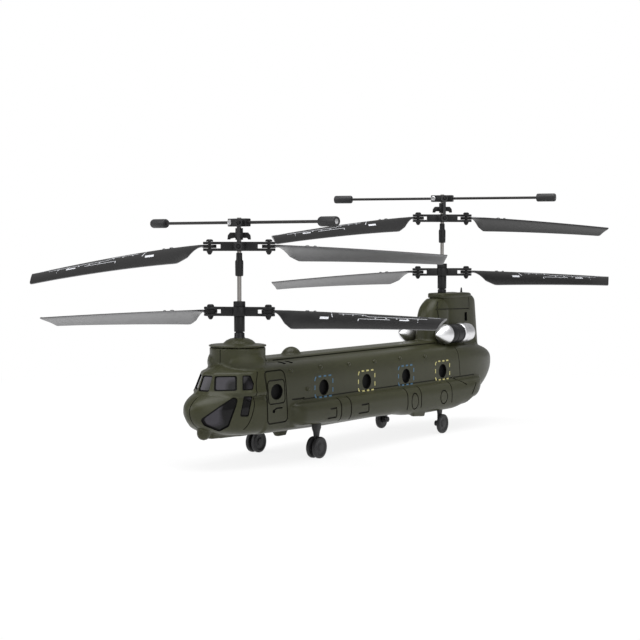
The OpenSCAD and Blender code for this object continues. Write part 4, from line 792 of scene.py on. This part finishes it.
def bodyHalf(name, node, side):
    half = scratch(name + "Work", bmesh.new())
    half.data = blank.data.copy()
    bm = bmesh.new()
    middle = Matrix.Translation((side * (halves["sizes"][0] / 2 + halves["gap"]), 0, halves["height"]))
    bmesh.ops.create_cube(bm, size=1, matrix=middle @ Matrix.Diagonal((*halves["sizes"], 1)))
    combine(half, "INTERSECT", bm)
    bm = bmesh.new()
    for y, z in hooks["places"]:
        spot = landing(flank, y, z)[0]
        ball(bm, (side * spot.x, spot.y, spot.z), hooks["radii"])
    for k, y in enumerate(windowRows):
        dashedSquare(bm, y, side, slot["dashes"][k % 2])
    bm.from_mesh(half.data)
    bpy.data.objects.remove(half)
    piece(name, bm, "airframe", [node], *skinFinishes)


bodyHalf("leftShell", "left_body_half", 1)
bodyHalf("rightShell", "right_body_half", -1)
bpy.data.objects.remove(blank)

# Each pane is a rim in the near black of painted shade with the glass a little higher inside it: top, bottom,
# share of the outline
paneLayers = [(-0.5, -1.5, 1.06), (-0.35, -1.4, 0.84)]


def buildPanes():
    bm = bmesh.new()
    for look, corners, radius, sides in panes.values():
        for (top, bottom, grow), paint in zip(paneLayers, (1, 0)):
            lens(bm, look, paneOutline(corners, radius), top, bottom, grow, paint, sides)
    piece("cockpitPanes", bm, "airframe", ["cockpit_glazing"], finishes["smoked_glazing"], recessShadeBlack)


buildPanes()
print("body built")


# Plate from a flat outline and rows of (inset, height)
def plate(bm, outline, rows, spot=Matrix.Identity(4), paint=0):
    outline = [Vector(p) for p in outline]
    count = len(outline)
    around = [outline[(i + 1) % count] - outline[i - 1] for i in range(count)]
    inward = [Vector((-edge.y, edge.x)).normalized() for edge in around]
    last = len(rows) - 1

    def point(u, v):
        inset, z = rows[round(v * last)]
        i = round(u * count) % count
        return spot @ Vector((*(outline[i] + inward[i] * inset), z))
    surface(bm, count, last, point, paint)


# Rows for a plate of one thickness with softened edges
def soft(low, high, edge):
    near = 0.3 * edge  # the point halfway round the edge
    steps = [(edge, 0), (near, near), (0, edge)]
    return [(inset, low + up) for inset, up in steps] + [(inset, high - up) for inset, up in reversed(steps)]


def box(bm, spot, sizes, edge, turn):
    x, y, z = (size / 2 for size in sizes)
    outline = rounded([(-x, -y), (x, -y), (x, y), (-x, y)], edge, steps=3)
    plate(bm, outline, soft(-z, z, edge), turn @ Matrix.Translation(spot))


# Round rod between two heights with softened ends, or a tube if it has a bore.
# The pieces below list their rods as (radius, low, high).
def rod(bm, radius, low, high, spot=Matrix.Identity(4), bore=0.0, edge=0.12, paint=0):
    side = [(radius - inset, z) for inset, z in soft(low, high, edge)]
    profile = [(bore, low), *side, (bore, high)]
    turned(bm, profile + profile[:1] if bore else profile, flats["rod"], spot, paint)


tubeBore = 1.27  # round the tube shaft of the lower rotors

# Front cap: radius, height and share of the drum's lead; a lip, a dome and a boss on the mast
frontCap = {"bossFrom": 41.15,
            "profile": [(tubeBore, 38.5, 0), (8.9, 38.5, 1), (9.25, 38.62, 1), (9.35, 38.85, 1),
                        (9.25, 39.05, 1), (8.9, 39.15, 1), (8.5, 39.12, 1), (6.8, 39.25, 0.6),
                        (5.4, 39.4, 0.2), (4.95, 39.85, 0), (4.2, 40.5, 0), (2.9, 41.05, 0), (1.9, 41.2, 0),
                        (1.7, 41.5, 0), (1.66, 42.8, 0), (1.55, 42.95, 0), (tubeBore, 42.95, 0),
                        (tubeBore, 38.5, 0)]}


def buildFrontCap():
    bm = bmesh.new()
    last = len(frontCap["profile"]) - 1

    def point(u, v):
        radius, z, lead = frontCap["profile"][round(v * last)]
        x, y = onCircle(radius, u)
        return Vector((x, frontY - lead * drum["lead"] + y, z))
    surface(bm, flats["cap"], last, point)
    for face in bm.faces:
        face.material_index = 1 if face.calc_center_median().z > frontCap["bossFrom"] else 0
    piece("frontCap", bm, "airframe", ["front_pylon_cap"], olive, black)


# Rear cap: a long plate that falls towards its back, with a boss on the mast and a spike
rearCap = {"wide": 4.9, "front": 5.9, "back": 18.2, "fallFrom": 11.0, "fall": 0.9, "fallPower": 2.4,
           "rows": [(0.1, 50.4), (0, 50.7), (0, 51.7), (0.1, 52.0), (0.35, 52.2), (2.4, 52.3)],
           "bore": (tubeBore, 45.0, 56.0), "boss": (1.66, 51.9, 53.65), "spikeBehind": 15.4,
           "spike": [(0, 51.6), (0.5, 51.6), (0.42, 52.4), (0.3, 53.6), (0.2, 54.0), (0, 54.05)]}


def buildRearCap():
    bm = bmesh.new()
    last = len(rearCap["rows"]) - 1

    def point(u, v):
        inset, z = rearCap["rows"][round(v * last)]
        front = rearY - rearCap["front"] + inset
        back = rearY + rearCap["back"] - inset
        spot = plan(u, rearCap["wide"] - inset, front, back, pylon["square"], z)
        past = max(0.0, spot.y - rearY - rearCap["fallFrom"]) / (rearCap["back"] - rearCap["fallFrom"])
        spot.z -= rearCap["fall"] * past ** rearCap["fallPower"]
        return spot
    surface(bm, flats["cap"], last, point)
    cap = scratch("cap", bm)
    mast = Matrix.Translation((0, rearY, 0))
    bm = bmesh.new()
    rod(bm, *rearCap["bore"], mast)
    combine(cap, "DIFFERENCE", bm)
    bm = bmesh.new()
    bm.from_mesh(cap.data)
    bpy.data.objects.remove(cap)
    rod(bm, *rearCap["boss"], mast, tubeBore, paint=1)
    spikeSpot = Matrix.Translation((0, rearY + rearCap["spikeBehind"], 0))
    turned(bm, rearCap["spike"], flats["spike"], spikeSpot, 1)
    piece("rearCap", bm, "airframe", ["rear_pylon_cap"], olive, black)


buildFrontCap()
buildRearCap()

# Engine pods: profiles of (radius, y) round an axis on each side
engine = {"x": 8.3, "z": 36.8,
          "cone": [(0, 43.2), (0.2, 43.25), (0.8, 43.9), (1.7, 45.15), (2.55, 46.6), (3.25, 48.0),
                   (3.7, 49.2), (3.9, 49.9), (3.84, 50.2), (3.5, 50.3), (0, 50.3)],
          "drum": [(0, 50.32), (3.5, 50.32), (3.66, 50.55), (3.66, 54.3), (3.46, 54.5), (3.46, 54.9),
                   (3.66, 55.1), (3.66, 58.4), (3.5, 58.6), (3.5, 58.9), (3.66, 59.1), (3.66, 59.7),
                   (3.5, 59.9), (0, 59.9)],
          "exhaust": [(0, 59.95), (3.5, 59.95), (3.72, 60.2), (3.84, 60.9), (3.86, 61.9), (3.82, 62.5),
                      (3.64, 62.8), (3.64, 63.2), (3.78, 63.5), (3.74, 65.6), (3.5, 67.4), (3.3, 67.7),
                      (2.85, 67.65), (2.75, 65.0), (2.7, 62.6), (0, 62.4)]}


def buildEngine(part, node, material):
    bm = bmesh.new()
    for side in bothHands:
        axis = Matrix.Translation((side * engine["x"], 0, engine["z"])) @ alongY
        turned(bm, engine[part], flats["engine"], axis)
    piece("engine" + part.title(), bm, "airframe", [node], material)


buildEngine("cone", "engine_cones", finishes["bright_trim"])
buildEngine("drum", "engine_bodies", black)
buildEngine("exhaust", "engine_exhausts", finishes["bright_trim"])

# Undercarriage: places (x, y), a wheel's profile of (radius, distance out), half a leg's outline (y, z)
gear = {"front": (12.7, midY - 39.5), "rear": (12.4, midY + 42.4),
        "axleHeight": 3.65, "axle": (0.6, -0.6, 0.6),
        "wheel": [(0, 0.57), (3.3, 0.57), (3.55, 0.68), (3.65, 0.95), (3.65, 1.5), (3.55, 1.8), (3.3, 1.93),
                  (2.85, 1.95), (2.6, 1.75), (2.3, 1.62), (1.6, 1.6), (1.3, 1.75), (1.2, 1.95), (0.7, 2.0),
                  (0, 2.0)],
        "hub": (1.05, 0.55, 1.8), "legHalf": 0.45, "legEdge": 0.15, "heel": 1.4, "heelSteps": 12,
        "leg": [(-2.2, 11.6), (-2.2, 10.1), (-1.5, 8.9), (-1.1, 7.2), (-1.15, 5.2), (-1.38, 4.2)]}


def buildLegs():
    bm = bmesh.new()
    arc = [onCircle(gear["heel"], 0.5 + k / gear["heelSteps"] / 2) for k in range(gear["heelSteps"] + 1)]
    heel = [(y, gear["axleHeight"] + z) for y, z in arc]
    outline = gear["leg"] + heel + [(-y, z) for y, z in reversed(gear["leg"])]
    rows = soft(-gear["legHalf"], gear["legHalf"], gear["legEdge"])
    for x, y in (gear["front"], gear["rear"]):
        for side in bothHands:
            plate(bm, outline, rows, Matrix.Translation((side * x, y, 0)) @ acrossX)
    piece("gearLegs", bm, "airframe", ["gear_legs"], black)


# Twin wheels on a front leg; one wheel outside and a hub inside on a rear leg
def buildWheels(end, hand, side):
    twin = end == "front"
    name = f"{end}_{hand}_wheel" + ("s" if twin else "")
    x, y = gear[end]
    bm = bmesh.new()
    axle = Matrix.Translation((side * x, y, gear["axleHeight"]))
    for out in bothHands if twin else (side,):
        turned(bm, gear["wheel"], flats["wheel"], axle @ Matrix.Diagonal((out, 1, 1, 1)) @ alongX)
    if not twin:
        rod(bm, *gear["hub"], axle @ Matrix.Diagonal((-side, 1, 1, 1)) @ alongX)
    rod(bm, *gear["axle"], axle @ alongX)
    piece(f"{end}{hand.title()}Wheels", bm, name, [name], finishes["wheel_plastic"])


buildLegs()
for end in ("front", "rear"):
    buildWheels(end, "left", 1)
    buildWheels(end, "right", -1)
print("caps, engines and undercarriage built")

# Blade: sizes from its grip screw outwards, pitch at root and tip in degrees, and how far each tip hangs
blade = {"span": 57.7, "chord": 14.0, "tip": 10.5, "lead": 2.2, "neck": 2.2, "neckWide": 2.4,
         "neckSlack": 0.15, "neckIn": 0.6, "root": 9.4, "twistEnd": 3.0, "rootBlend": 3.0,
         "leastChord": 0.5, "corner": 1.1,
         "thick": 0.9, "noseShare": 0.3, "nosePower": 2.2, "thinFrom": 0.35, "thin": 0.7, "thinPower": 1.5,
         "camber": 0.14, "pitch": (22.0, 17.0), "hang": 1.3, "rakeFrom": 48.0, "rake": {1: 0.6, -1: 2.3},
         "eye": 2.25, "eyeHigh": 1.1, "eyeBore": 0.6, "eyeEdge": 0.1, "topFrom": 0.2,
         "nubs": [(12.5, 0.7), (15.0, 0.5)], "nubChord": 0.03, "nubHigh": 0.3,
         "drops": {"front_upper": (3.2, 9.4), "front_lower": (2.3, 2.9), "rear_upper": (4.1, 7.4),
                   "rear_lower": (2.5, 4.2)}}
# Paint on a blade's upper face, as span and chord share
bladePrint = {"width": 0.25, "lift": 0.03, "sink": 0.1, "gap": 0.7, "dot": 0.5, "feel": (0.3, 0.02),
              "lines": [[(20.5, 0.1), (21.5, 0.44)], [(23.0, 0.2), (31.0, 0.2), (33.0, 0.34), (52.0, 0.34)],
                        [(49.0, 0.12), (49.0, 0.6)], [(30.0, 0.62), (30.0, 0.5), (40.0, 0.5)],
                        [(52.0, 0.16), (56.0, 0.16)]],
              "patches": [((17.6, 0.5), (20.4, 0.5), 1.7), ((43.0, 0.5), (46.0, 0.5), 0.9)],
              "dots": [(24.5 + 3.1 * k, 0.27) for k in range(3)] + [(35.0 + 3.4 * k, 0.42) for k in range(5)]}


# Half thickness at a chord share: a round leading edge that thins towards the back
def bladeHalf(p):
    front = closing(1 - min(1.0, p / blade["noseShare"]), blade["nosePower"], 0.5)
    back = max(0.0, (p - blade["thinFrom"]) / (1 - blade["thinFrom"]))
    return 0.5 * blade["thick"] * front * (1 - blade["thin"] * back ** blade["thinPower"])


# Point of a blade from its reach, chord share and face; side tells which way the rotor turns
def bladeAt(side, drop, u, p, up):
    span, neck, root, blend = blade["span"], blade["neck"], blade["root"], blade["rootBlend"]
    share = max(u - neck, 0) / (span - neck)
    turn = clamped((u - neck) / (root - blade["twistEnd"] - neck))
    narrow = blade["neckWide"] / 2 - blade["neckSlack"]
    wide = blade["chord"] - blade["lead"]
    lead = -mixed(narrow, blade["lead"], turn)
    inner = mixed(blade["neckWide"] / 2, wide, (u - neck) / (root - neck))
    outer = wide + (u - root) / (span - root) * (blade["tip"] - blade["chord"])
    melted = -math.log(math.exp(-blend * inner) + math.exp(-blend * outer)) / blend
    trail = narrow if u < neck else melted
    near = max(0.0, blade["corner"] - (span - u))
    cut = blade["corner"] - math.sqrt(max(0.0, blade["corner"] ** 2 - near ** 2))
    lead += cut
    trail = max(trail - cut, lead + blade["leastChord"])
    chord = trail - lead
    f = p * chord + lead
    h = up * bladeHalf(p) + blade["camber"] * chord * p * (1 - p)
    pitch = math.radians(turn * mixed(*blade["pitch"], share))
    rake = blade["rake"][side] * max(0.0, (u - blade["rakeFrom"]) / (span - blade["rakeFrom"]))
    rise = h * math.cos(pitch) - (f - lead - narrow) * math.sin(pitch)
    return Vector((u - rake * p, side * (f * math.cos(pitch) + h * math.sin(pitch)),
                   rise - drop * share ** blade["hang"]))


# Thin raised line of paint on the upper face
def stripe(bm, side, drop, path, width, spot):
    def top(u, p):
        return bladeAt(side, drop, u, p, 1)
    path = denser(path, bladePrint["gap"], False)
    last = len(path) - 1
    feelOut, feelBack = bladePrint["feel"]
    frames = []
    for i, (u, p) in enumerate(path):
        here = top(u, p)
        out = (top(u + feelOut, p) - here).cross(top(u, p + feelBack) - here)
        out = out.normalized() * (1 if out.z > 0 else -1)
        onward = top(*path[min(i + 1, last)]) - top(*path[max(i - 1, 0)])
        across = out.cross(onward).normalized() * width / 2
        high = here + out * bladePrint["lift"]
        low = here - out * bladePrint["sink"]
        corners = (high + across, high - across, low - across, low + across)
        frames.append([spot @ corner for corner in corners])
    cord(bm, frames, 2)


def pivotOf(end, layer, which):
    return Vector(joints[f"{end}_{layer}_fold_{which}"]["pos_m"]) / mm


def buildBlade(end, layer, which):
    name = f"{end}_{layer}_blade_{which}"
    pivot = pivotOf(end, layer, which)
    away = pivot - masts[end]
    spot = Matrix.Translation(pivot) @ Matrix.Rotation(math.atan2(away.y, away.x), 4, "Z")
    side = 1 if layer == "upper" else -1
    drop = blade["drops"][f"{end}_{layer}"]["ab".index(which)]
    bm = bmesh.new()

    def point(u, v):
        over = u <= 0.5
        p = (1 - math.cos(2 * math.pi * u)) / 2
        reach = mixed(blade["neck"] - blade["neckIn"], blade["span"], math.sin(v * math.pi / 2))
        return spot @ bladeAt(side, drop, reach, p, 1 if over else -1)
    surface(bm, *facets["blade"], point)
    bmesh.ops.recalc_face_normals(bm, faces=bm.faces)
    # Upper faces take the darker plastic; the other faces keep the grey of painted light from below
    for face in bm.faces:
        face.material_index = 1 if face.normal.z > blade["topFrom"] else 0
    half = blade["eyeHigh"] / 2
    rod(bm, blade["eye"], -half, half, spot, blade["eyeBore"], blade["eyeEdge"], 1)
    for u, size in blade["nubs"]:
        nubSpot = spot @ bladeAt(side, drop, u, blade["nubChord"], 1)
        ball(bm, nubSpot, (size, size, blade["nubHigh"]), spot.to_euler().z)
    for path in bladePrint["lines"]:
        stripe(bm, side, drop, path, bladePrint["width"], spot)
    for inner, outer, width in bladePrint["patches"]:
        stripe(bm, side, drop, [inner, outer], width, spot)
    for u, p in bladePrint["dots"]:
        stripe(bm, side, drop, [(u, p), (u + bladePrint["dot"], p)], bladePrint["dot"], spot)
    title = f"{end}{layer.title()}Blade{which.upper()}"
    piece(title, bm, name, [name], finishes["blade_plastic"], bladeTop, whitePaint)


for end in ("front", "rear"):
    for layer in ("upper", "lower"):
        for which in "ab":
            buildBlade(end, layer, which)
print("blades built")

# Hub bars: a core on the mast, a bar each way, and two fork plates round each grip screw
hub = {"core": 2.4, "half": 1.5, "bar": 2.28, "barMiddle": 3.85, "barLength": 4.3, "barEdge": 0.25,
       "fork": 0.65, "forkEdge": 0.15, "grip": 2.15, "pivot": 9.6, "sweep": 130.0, "sweepSteps": 20,
       "neck": [(5.5, -1.0), (7.4, -1.0)],
       "nub": [(0, -2.7), (0.4, -2.65), (0.62, -2.4), (0.95, -1.8), (1.0, -1.4), (0, -1.4)],
       "skirt": (1.75, -6.6, -1.4), "crest": (1.95, 1.4, 3.3), "crestBore": 0.82, "crestEdge": 0.2,
       "upperBore": 1.17, "pin": (0.5, 2.0, 4.7)}
# Sleeve profile below the upper hub, and the collar above it with two lugs
sleeve = {"profile": [(0.73, -9.65), (1.1, -9.65), (1.26, -9.5), (1.32, -9.2), (1.36, -5.2), (1.3, -4.7),
                      (1.02, -4.3), (0.98, -2.1), (0.73, -2.1), (0.73, -9.65)],
          "bore": 0.73, "collarRise": 3.0, "collar": (1.75, -0.1, 1.5), "neck": (1.25, -0.9, 2.9),
          "lugHalf": 0.8, "lugEdge": 0.15, "lugCorner": 0.12,
          "lug": [(0.9, -0.3), (2.6, -0.3), (2.95, -0.8), (3.8, -0.8), (3.65, 0.6), (2.9, 1.5), (0.9, 1.5)]}
# Flybar: its turn from the x axis in degrees, the hub's blocks, and a weight's profile along the wire
flybar = {"turn": {"front": -11.0, "rear": 14.0}, "block": (2.8, 2.6, 2.6), "blockOut": 2.95,
          "blockEdge": 0.3, "cheek": (4.0, 0.5, 2.6), "cheekOut": 1.06, "cheekEdge": 0.12,
          "stub": (1.0, 1.2, 1.62), "arm": (0.5, 1.1, 4.7), "screwSpot": (-3.3, -1.25, 0),
          "screw": [(0, 0), (0.95, 0), (0.95, 0.2), (0.8, 0.32), (0.5, 0.32), (0.42, 0.2), (0, 0.2)],
          "weight": [(0.53, 37.6), (1.0, 37.6), (1.4, 37.75), (1.55, 38.15), (1.55, 44.4), (1.43, 44.82),
                     (1.15, 45.0), (0.95, 45.0), (0.9, 44.7), (0.53, 44.7), (0.53, 37.6)],
          "plug": (0.88, 44.2, 44.85)}


def hubBar(bm, spot, bore):
    half = hub["half"]
    steps = hub["sweepSteps"]
    angles = [math.radians(hub["sweep"] * (2 * k / steps - 1)) for k in range(steps + 1)]
    arc = [(hub["pivot"] + hub["grip"] * math.cos(a), hub["grip"] * math.sin(a)) for a in angles]
    outline = hub["neck"] + arc + [(x, -y) for x, y in reversed(hub["neck"])]
    rod(bm, hub["core"], -half, half, spot, bore)
    for turn in (spot, spot @ halfTurn):
        box(bm, (hub["barMiddle"], 0, 0), (hub["barLength"], hub["bar"], 2 * half), hub["barEdge"], turn)
        plate(bm, outline, soft(hub["fork"], half, hub["forkEdge"]), turn)
        plate(bm, outline, soft(-half, -hub["fork"], hub["forkEdge"]), turn)
        turned(bm, hub["nub"], flats["nub"], turn @ Matrix.Translation((hub["pivot"], 0, 0)))


# Middle of a hub, turned along its first blade
def hubSpot(end, layer):
    pivot = pivotOf(end, layer, "a")
    turn = math.atan2(pivot.y - masts[end].y, pivot.x)
    return Matrix.Translation((0, masts[end].y, pivot.z)) @ Matrix.Rotation(turn, 4, "Z")


def buildHubs(end):
    lower = hubSpot(end, "lower")
    bm = bmesh.new()
    hubBar(bm, lower, tubeBore)
    rod(bm, *hub["skirt"], lower, tubeBore)
    rod(bm, *hub["crest"], lower, hub["crestBore"], hub["crestEdge"])
    piece(end + "LowerHub", bm, f"{end}_outer_rotor", [f"{end}_lower_hub"], black)
    upper = hubSpot(end, "upper")
    bm = bmesh.new()
    hubBar(bm, upper, hub["upperBore"])
    rod(bm, *hub["pin"], upper @ backY)
    piece(end + "UpperHub", bm, f"{end}_upper_head", [f"{end}_upper_hub"], black)


def buildSleeves(end):
    upper = hubSpot(end, "upper")
    collar = upper @ Matrix.Translation((0, 0, sleeve["collarRise"]))
    bm = bmesh.new()
    turned(bm, sleeve["profile"], flats["sleeve"], upper)
    rod(bm, *sleeve["collar"], collar, sleeve["bore"])
    rod(bm, *sleeve["neck"], collar, sleeve["bore"])
    outline = rounded(sleeve["lug"], sleeve["lugCorner"], steps=2)
    for turn in (collar, collar @ halfTurn):
        plate(bm, outline, soft(-sleeve["lugHalf"], sleeve["lugHalf"], sleeve["lugEdge"]), turn @ backY)
    piece(end + "Sleeves", bm, f"{end}_inner_rotor", [f"{end}_sleeves"], black)


def buildFlybar(end):
    teeter = Vector(joints[f"{end}_flybar_teeter"]["pos_m"]) / mm
    middle = Matrix.Translation((0, masts[end].y, teeter.z))
    spot = middle @ Matrix.Rotation(math.radians(flybar["turn"][end]), 4, "Z")
    bm = bmesh.new()
    for side in bothHands:
        box(bm, (side * flybar["blockOut"], 0, 0), flybar["block"], flybar["blockEdge"], spot)
        box(bm, (0, side * flybar["cheekOut"], 0), flybar["cheek"], flybar["cheekEdge"], spot)
        rod(bm, *flybar["stub"], spot @ Matrix.Rotation(side * math.pi / 2, 4, "X"))
    arm = middle @ hubSpot(end, "upper").to_3x3().to_4x4() @ backY
    rod(bm, *flybar["arm"], arm)
    screwSpot = spot @ Matrix.Translation(flybar["screwSpot"]) @ backY
    turned(bm, flybar["screw"], flats["screw"], screwSpot, 1)
    piece(end + "FlybarHub", bm, f"{end}_flybar", [f"{end}_flybar_hub"], black, steel)
    bm = bmesh.new()
    for outward in (spot @ alongX, spot @ halfTurn @ alongX):
        turned(bm, flybar["weight"], flats["weight"], outward)
        rod(bm, *flybar["plug"], outward, paint=1)
    weights = [f"{end}_flybar_weights"]
    piece(end + "FlybarWeights", bm, f"{end}_flybar", weights, finishes["weight_plastic"], steel)


for end in ("front", "rear"):
    buildHubs(end)
    buildSleeves(end)
    buildFlybar(end)
print("heads built")

# Camera at the photo's viewing angle, in metres and degrees
camera = {"place": (0.304875, -0.461262, 0.072508), "azimuth": 34.80, "elevation": 2.938, "lens": 86.16,
          "sensor": 36.0, "near": 0.01}
eye = bpy.data.cameras.new("eye")
eye.lens = camera["lens"]
eye.sensor_width = camera["sensor"]
eye.clip_start = camera["near"]
eyeObject = bpy.data.objects.new("eye", eye)
bpy.context.scene.collection.objects.link(eyeObject)
eyeObject.location = camera["place"]
eyeObject.rotation_euler = (math.radians(90 - camera["elevation"]), 0, math.radians(camera["azimuth"]))
bpy.context.scene.camera = eyeObject

# Pale floor that whitens away from the part, white surroundings, and lamps as place, size and power
studio = {"floorHalf": 6.0, "floorColour": (0.9, 0.9, 0.9), "whiteNear": 0.85, "fadeFrom": 0.1,
          "fadeLength": 0.2, "sky": 0.45,
          "lamps": {"overhead": ((0.1, -0.1, 1.1), 1.1, 16.0), "side": ((-0.7, -1.0, 0.7), 0.9, 7.0),
                    "front": ((1.0, -0.5, 0.5), 0.9, 4.0)}}


# Sum of two kinds of rays
def raysOf(w, first, second):
    path = w.tree.nodes.new("ShaderNodeLightPath")
    return Wire(w.tree, path.outputs[first]) + Wire(w.tree, path.outputs[second])


def floorPaint():
    material = bpy.data.materials.new("paleFloor")
    material.use_nodes = True
    w = Wire(material.node_tree)
    lit = w.add("ShaderNodeBsdfDiffuse", {"Color": (*studio["floorColour"], 1)})
    white = w.add("ShaderNodeEmission", {"Color": (1, 1, 1, 1), "Strength": 1.0})
    far = w.add("ShaderNodeVectorMath", {0: place(w)}, out="Value", operation="LENGTH")
    fade = w.math("DIVIDE", far - studio["fadeFrom"], studio["fadeLength"], clamp=True)
    share = studio["whiteNear"] + (1 - studio["whiteNear"]) * fade
    seen = raysOf(w, "Is Camera Ray", "Is Glossy Ray")
    shown = w.add("ShaderNodeMixShader", {0: share * seen, 1: lit, 2: white})
    w.tree.links.new(shown.socket, w.tree.nodes["Material Output"].inputs["Surface"])
    return material


def buildFloor():
    bm = bmesh.new()
    bmesh.ops.create_grid(bm, x_segments=8, y_segments=8, size=studio["floorHalf"])
    mesh = bpy.data.meshes.new("floor")
    bm.to_mesh(mesh)
    bm.free()
    mesh.materials.append(floorPaint())
    floor = bpy.data.objects.new("floor", mesh)
    bpy.context.scene.collection.objects.link(floor)


def buildLight():
    world = bpy.data.worlds.new("studio")
    bpy.context.scene.world = world
    world.use_nodes = True
    w = Wire(world.node_tree)
    strength = studio["sky"] + (1 - studio["sky"]) * raysOf(w, "Is Camera Ray", "Is Transmission Ray")
    background = w.tree.nodes["Background"]
    background.inputs["Color"].default_value = (1, 1, 1, 1)
    w.tree.links.new(strength.socket, background.inputs["Strength"])
    for name, (spot, size, power) in studio["lamps"].items():
        lamp = bpy.data.lights.new(name, "AREA")
        lamp.size = size
        lamp.energy = power
        lampObject = bpy.data.objects.new(name, lamp)
        lampObject.location = spot
        lampObject.rotation_euler = (-Vector(spot)).to_track_quat("-Z", "Y").to_euler()
        bpy.context.scene.collection.objects.link(lampObject)


buildFloor()
buildLight()
bpy.context.scene.view_settings.view_transform = "Standard"
print("studio built")
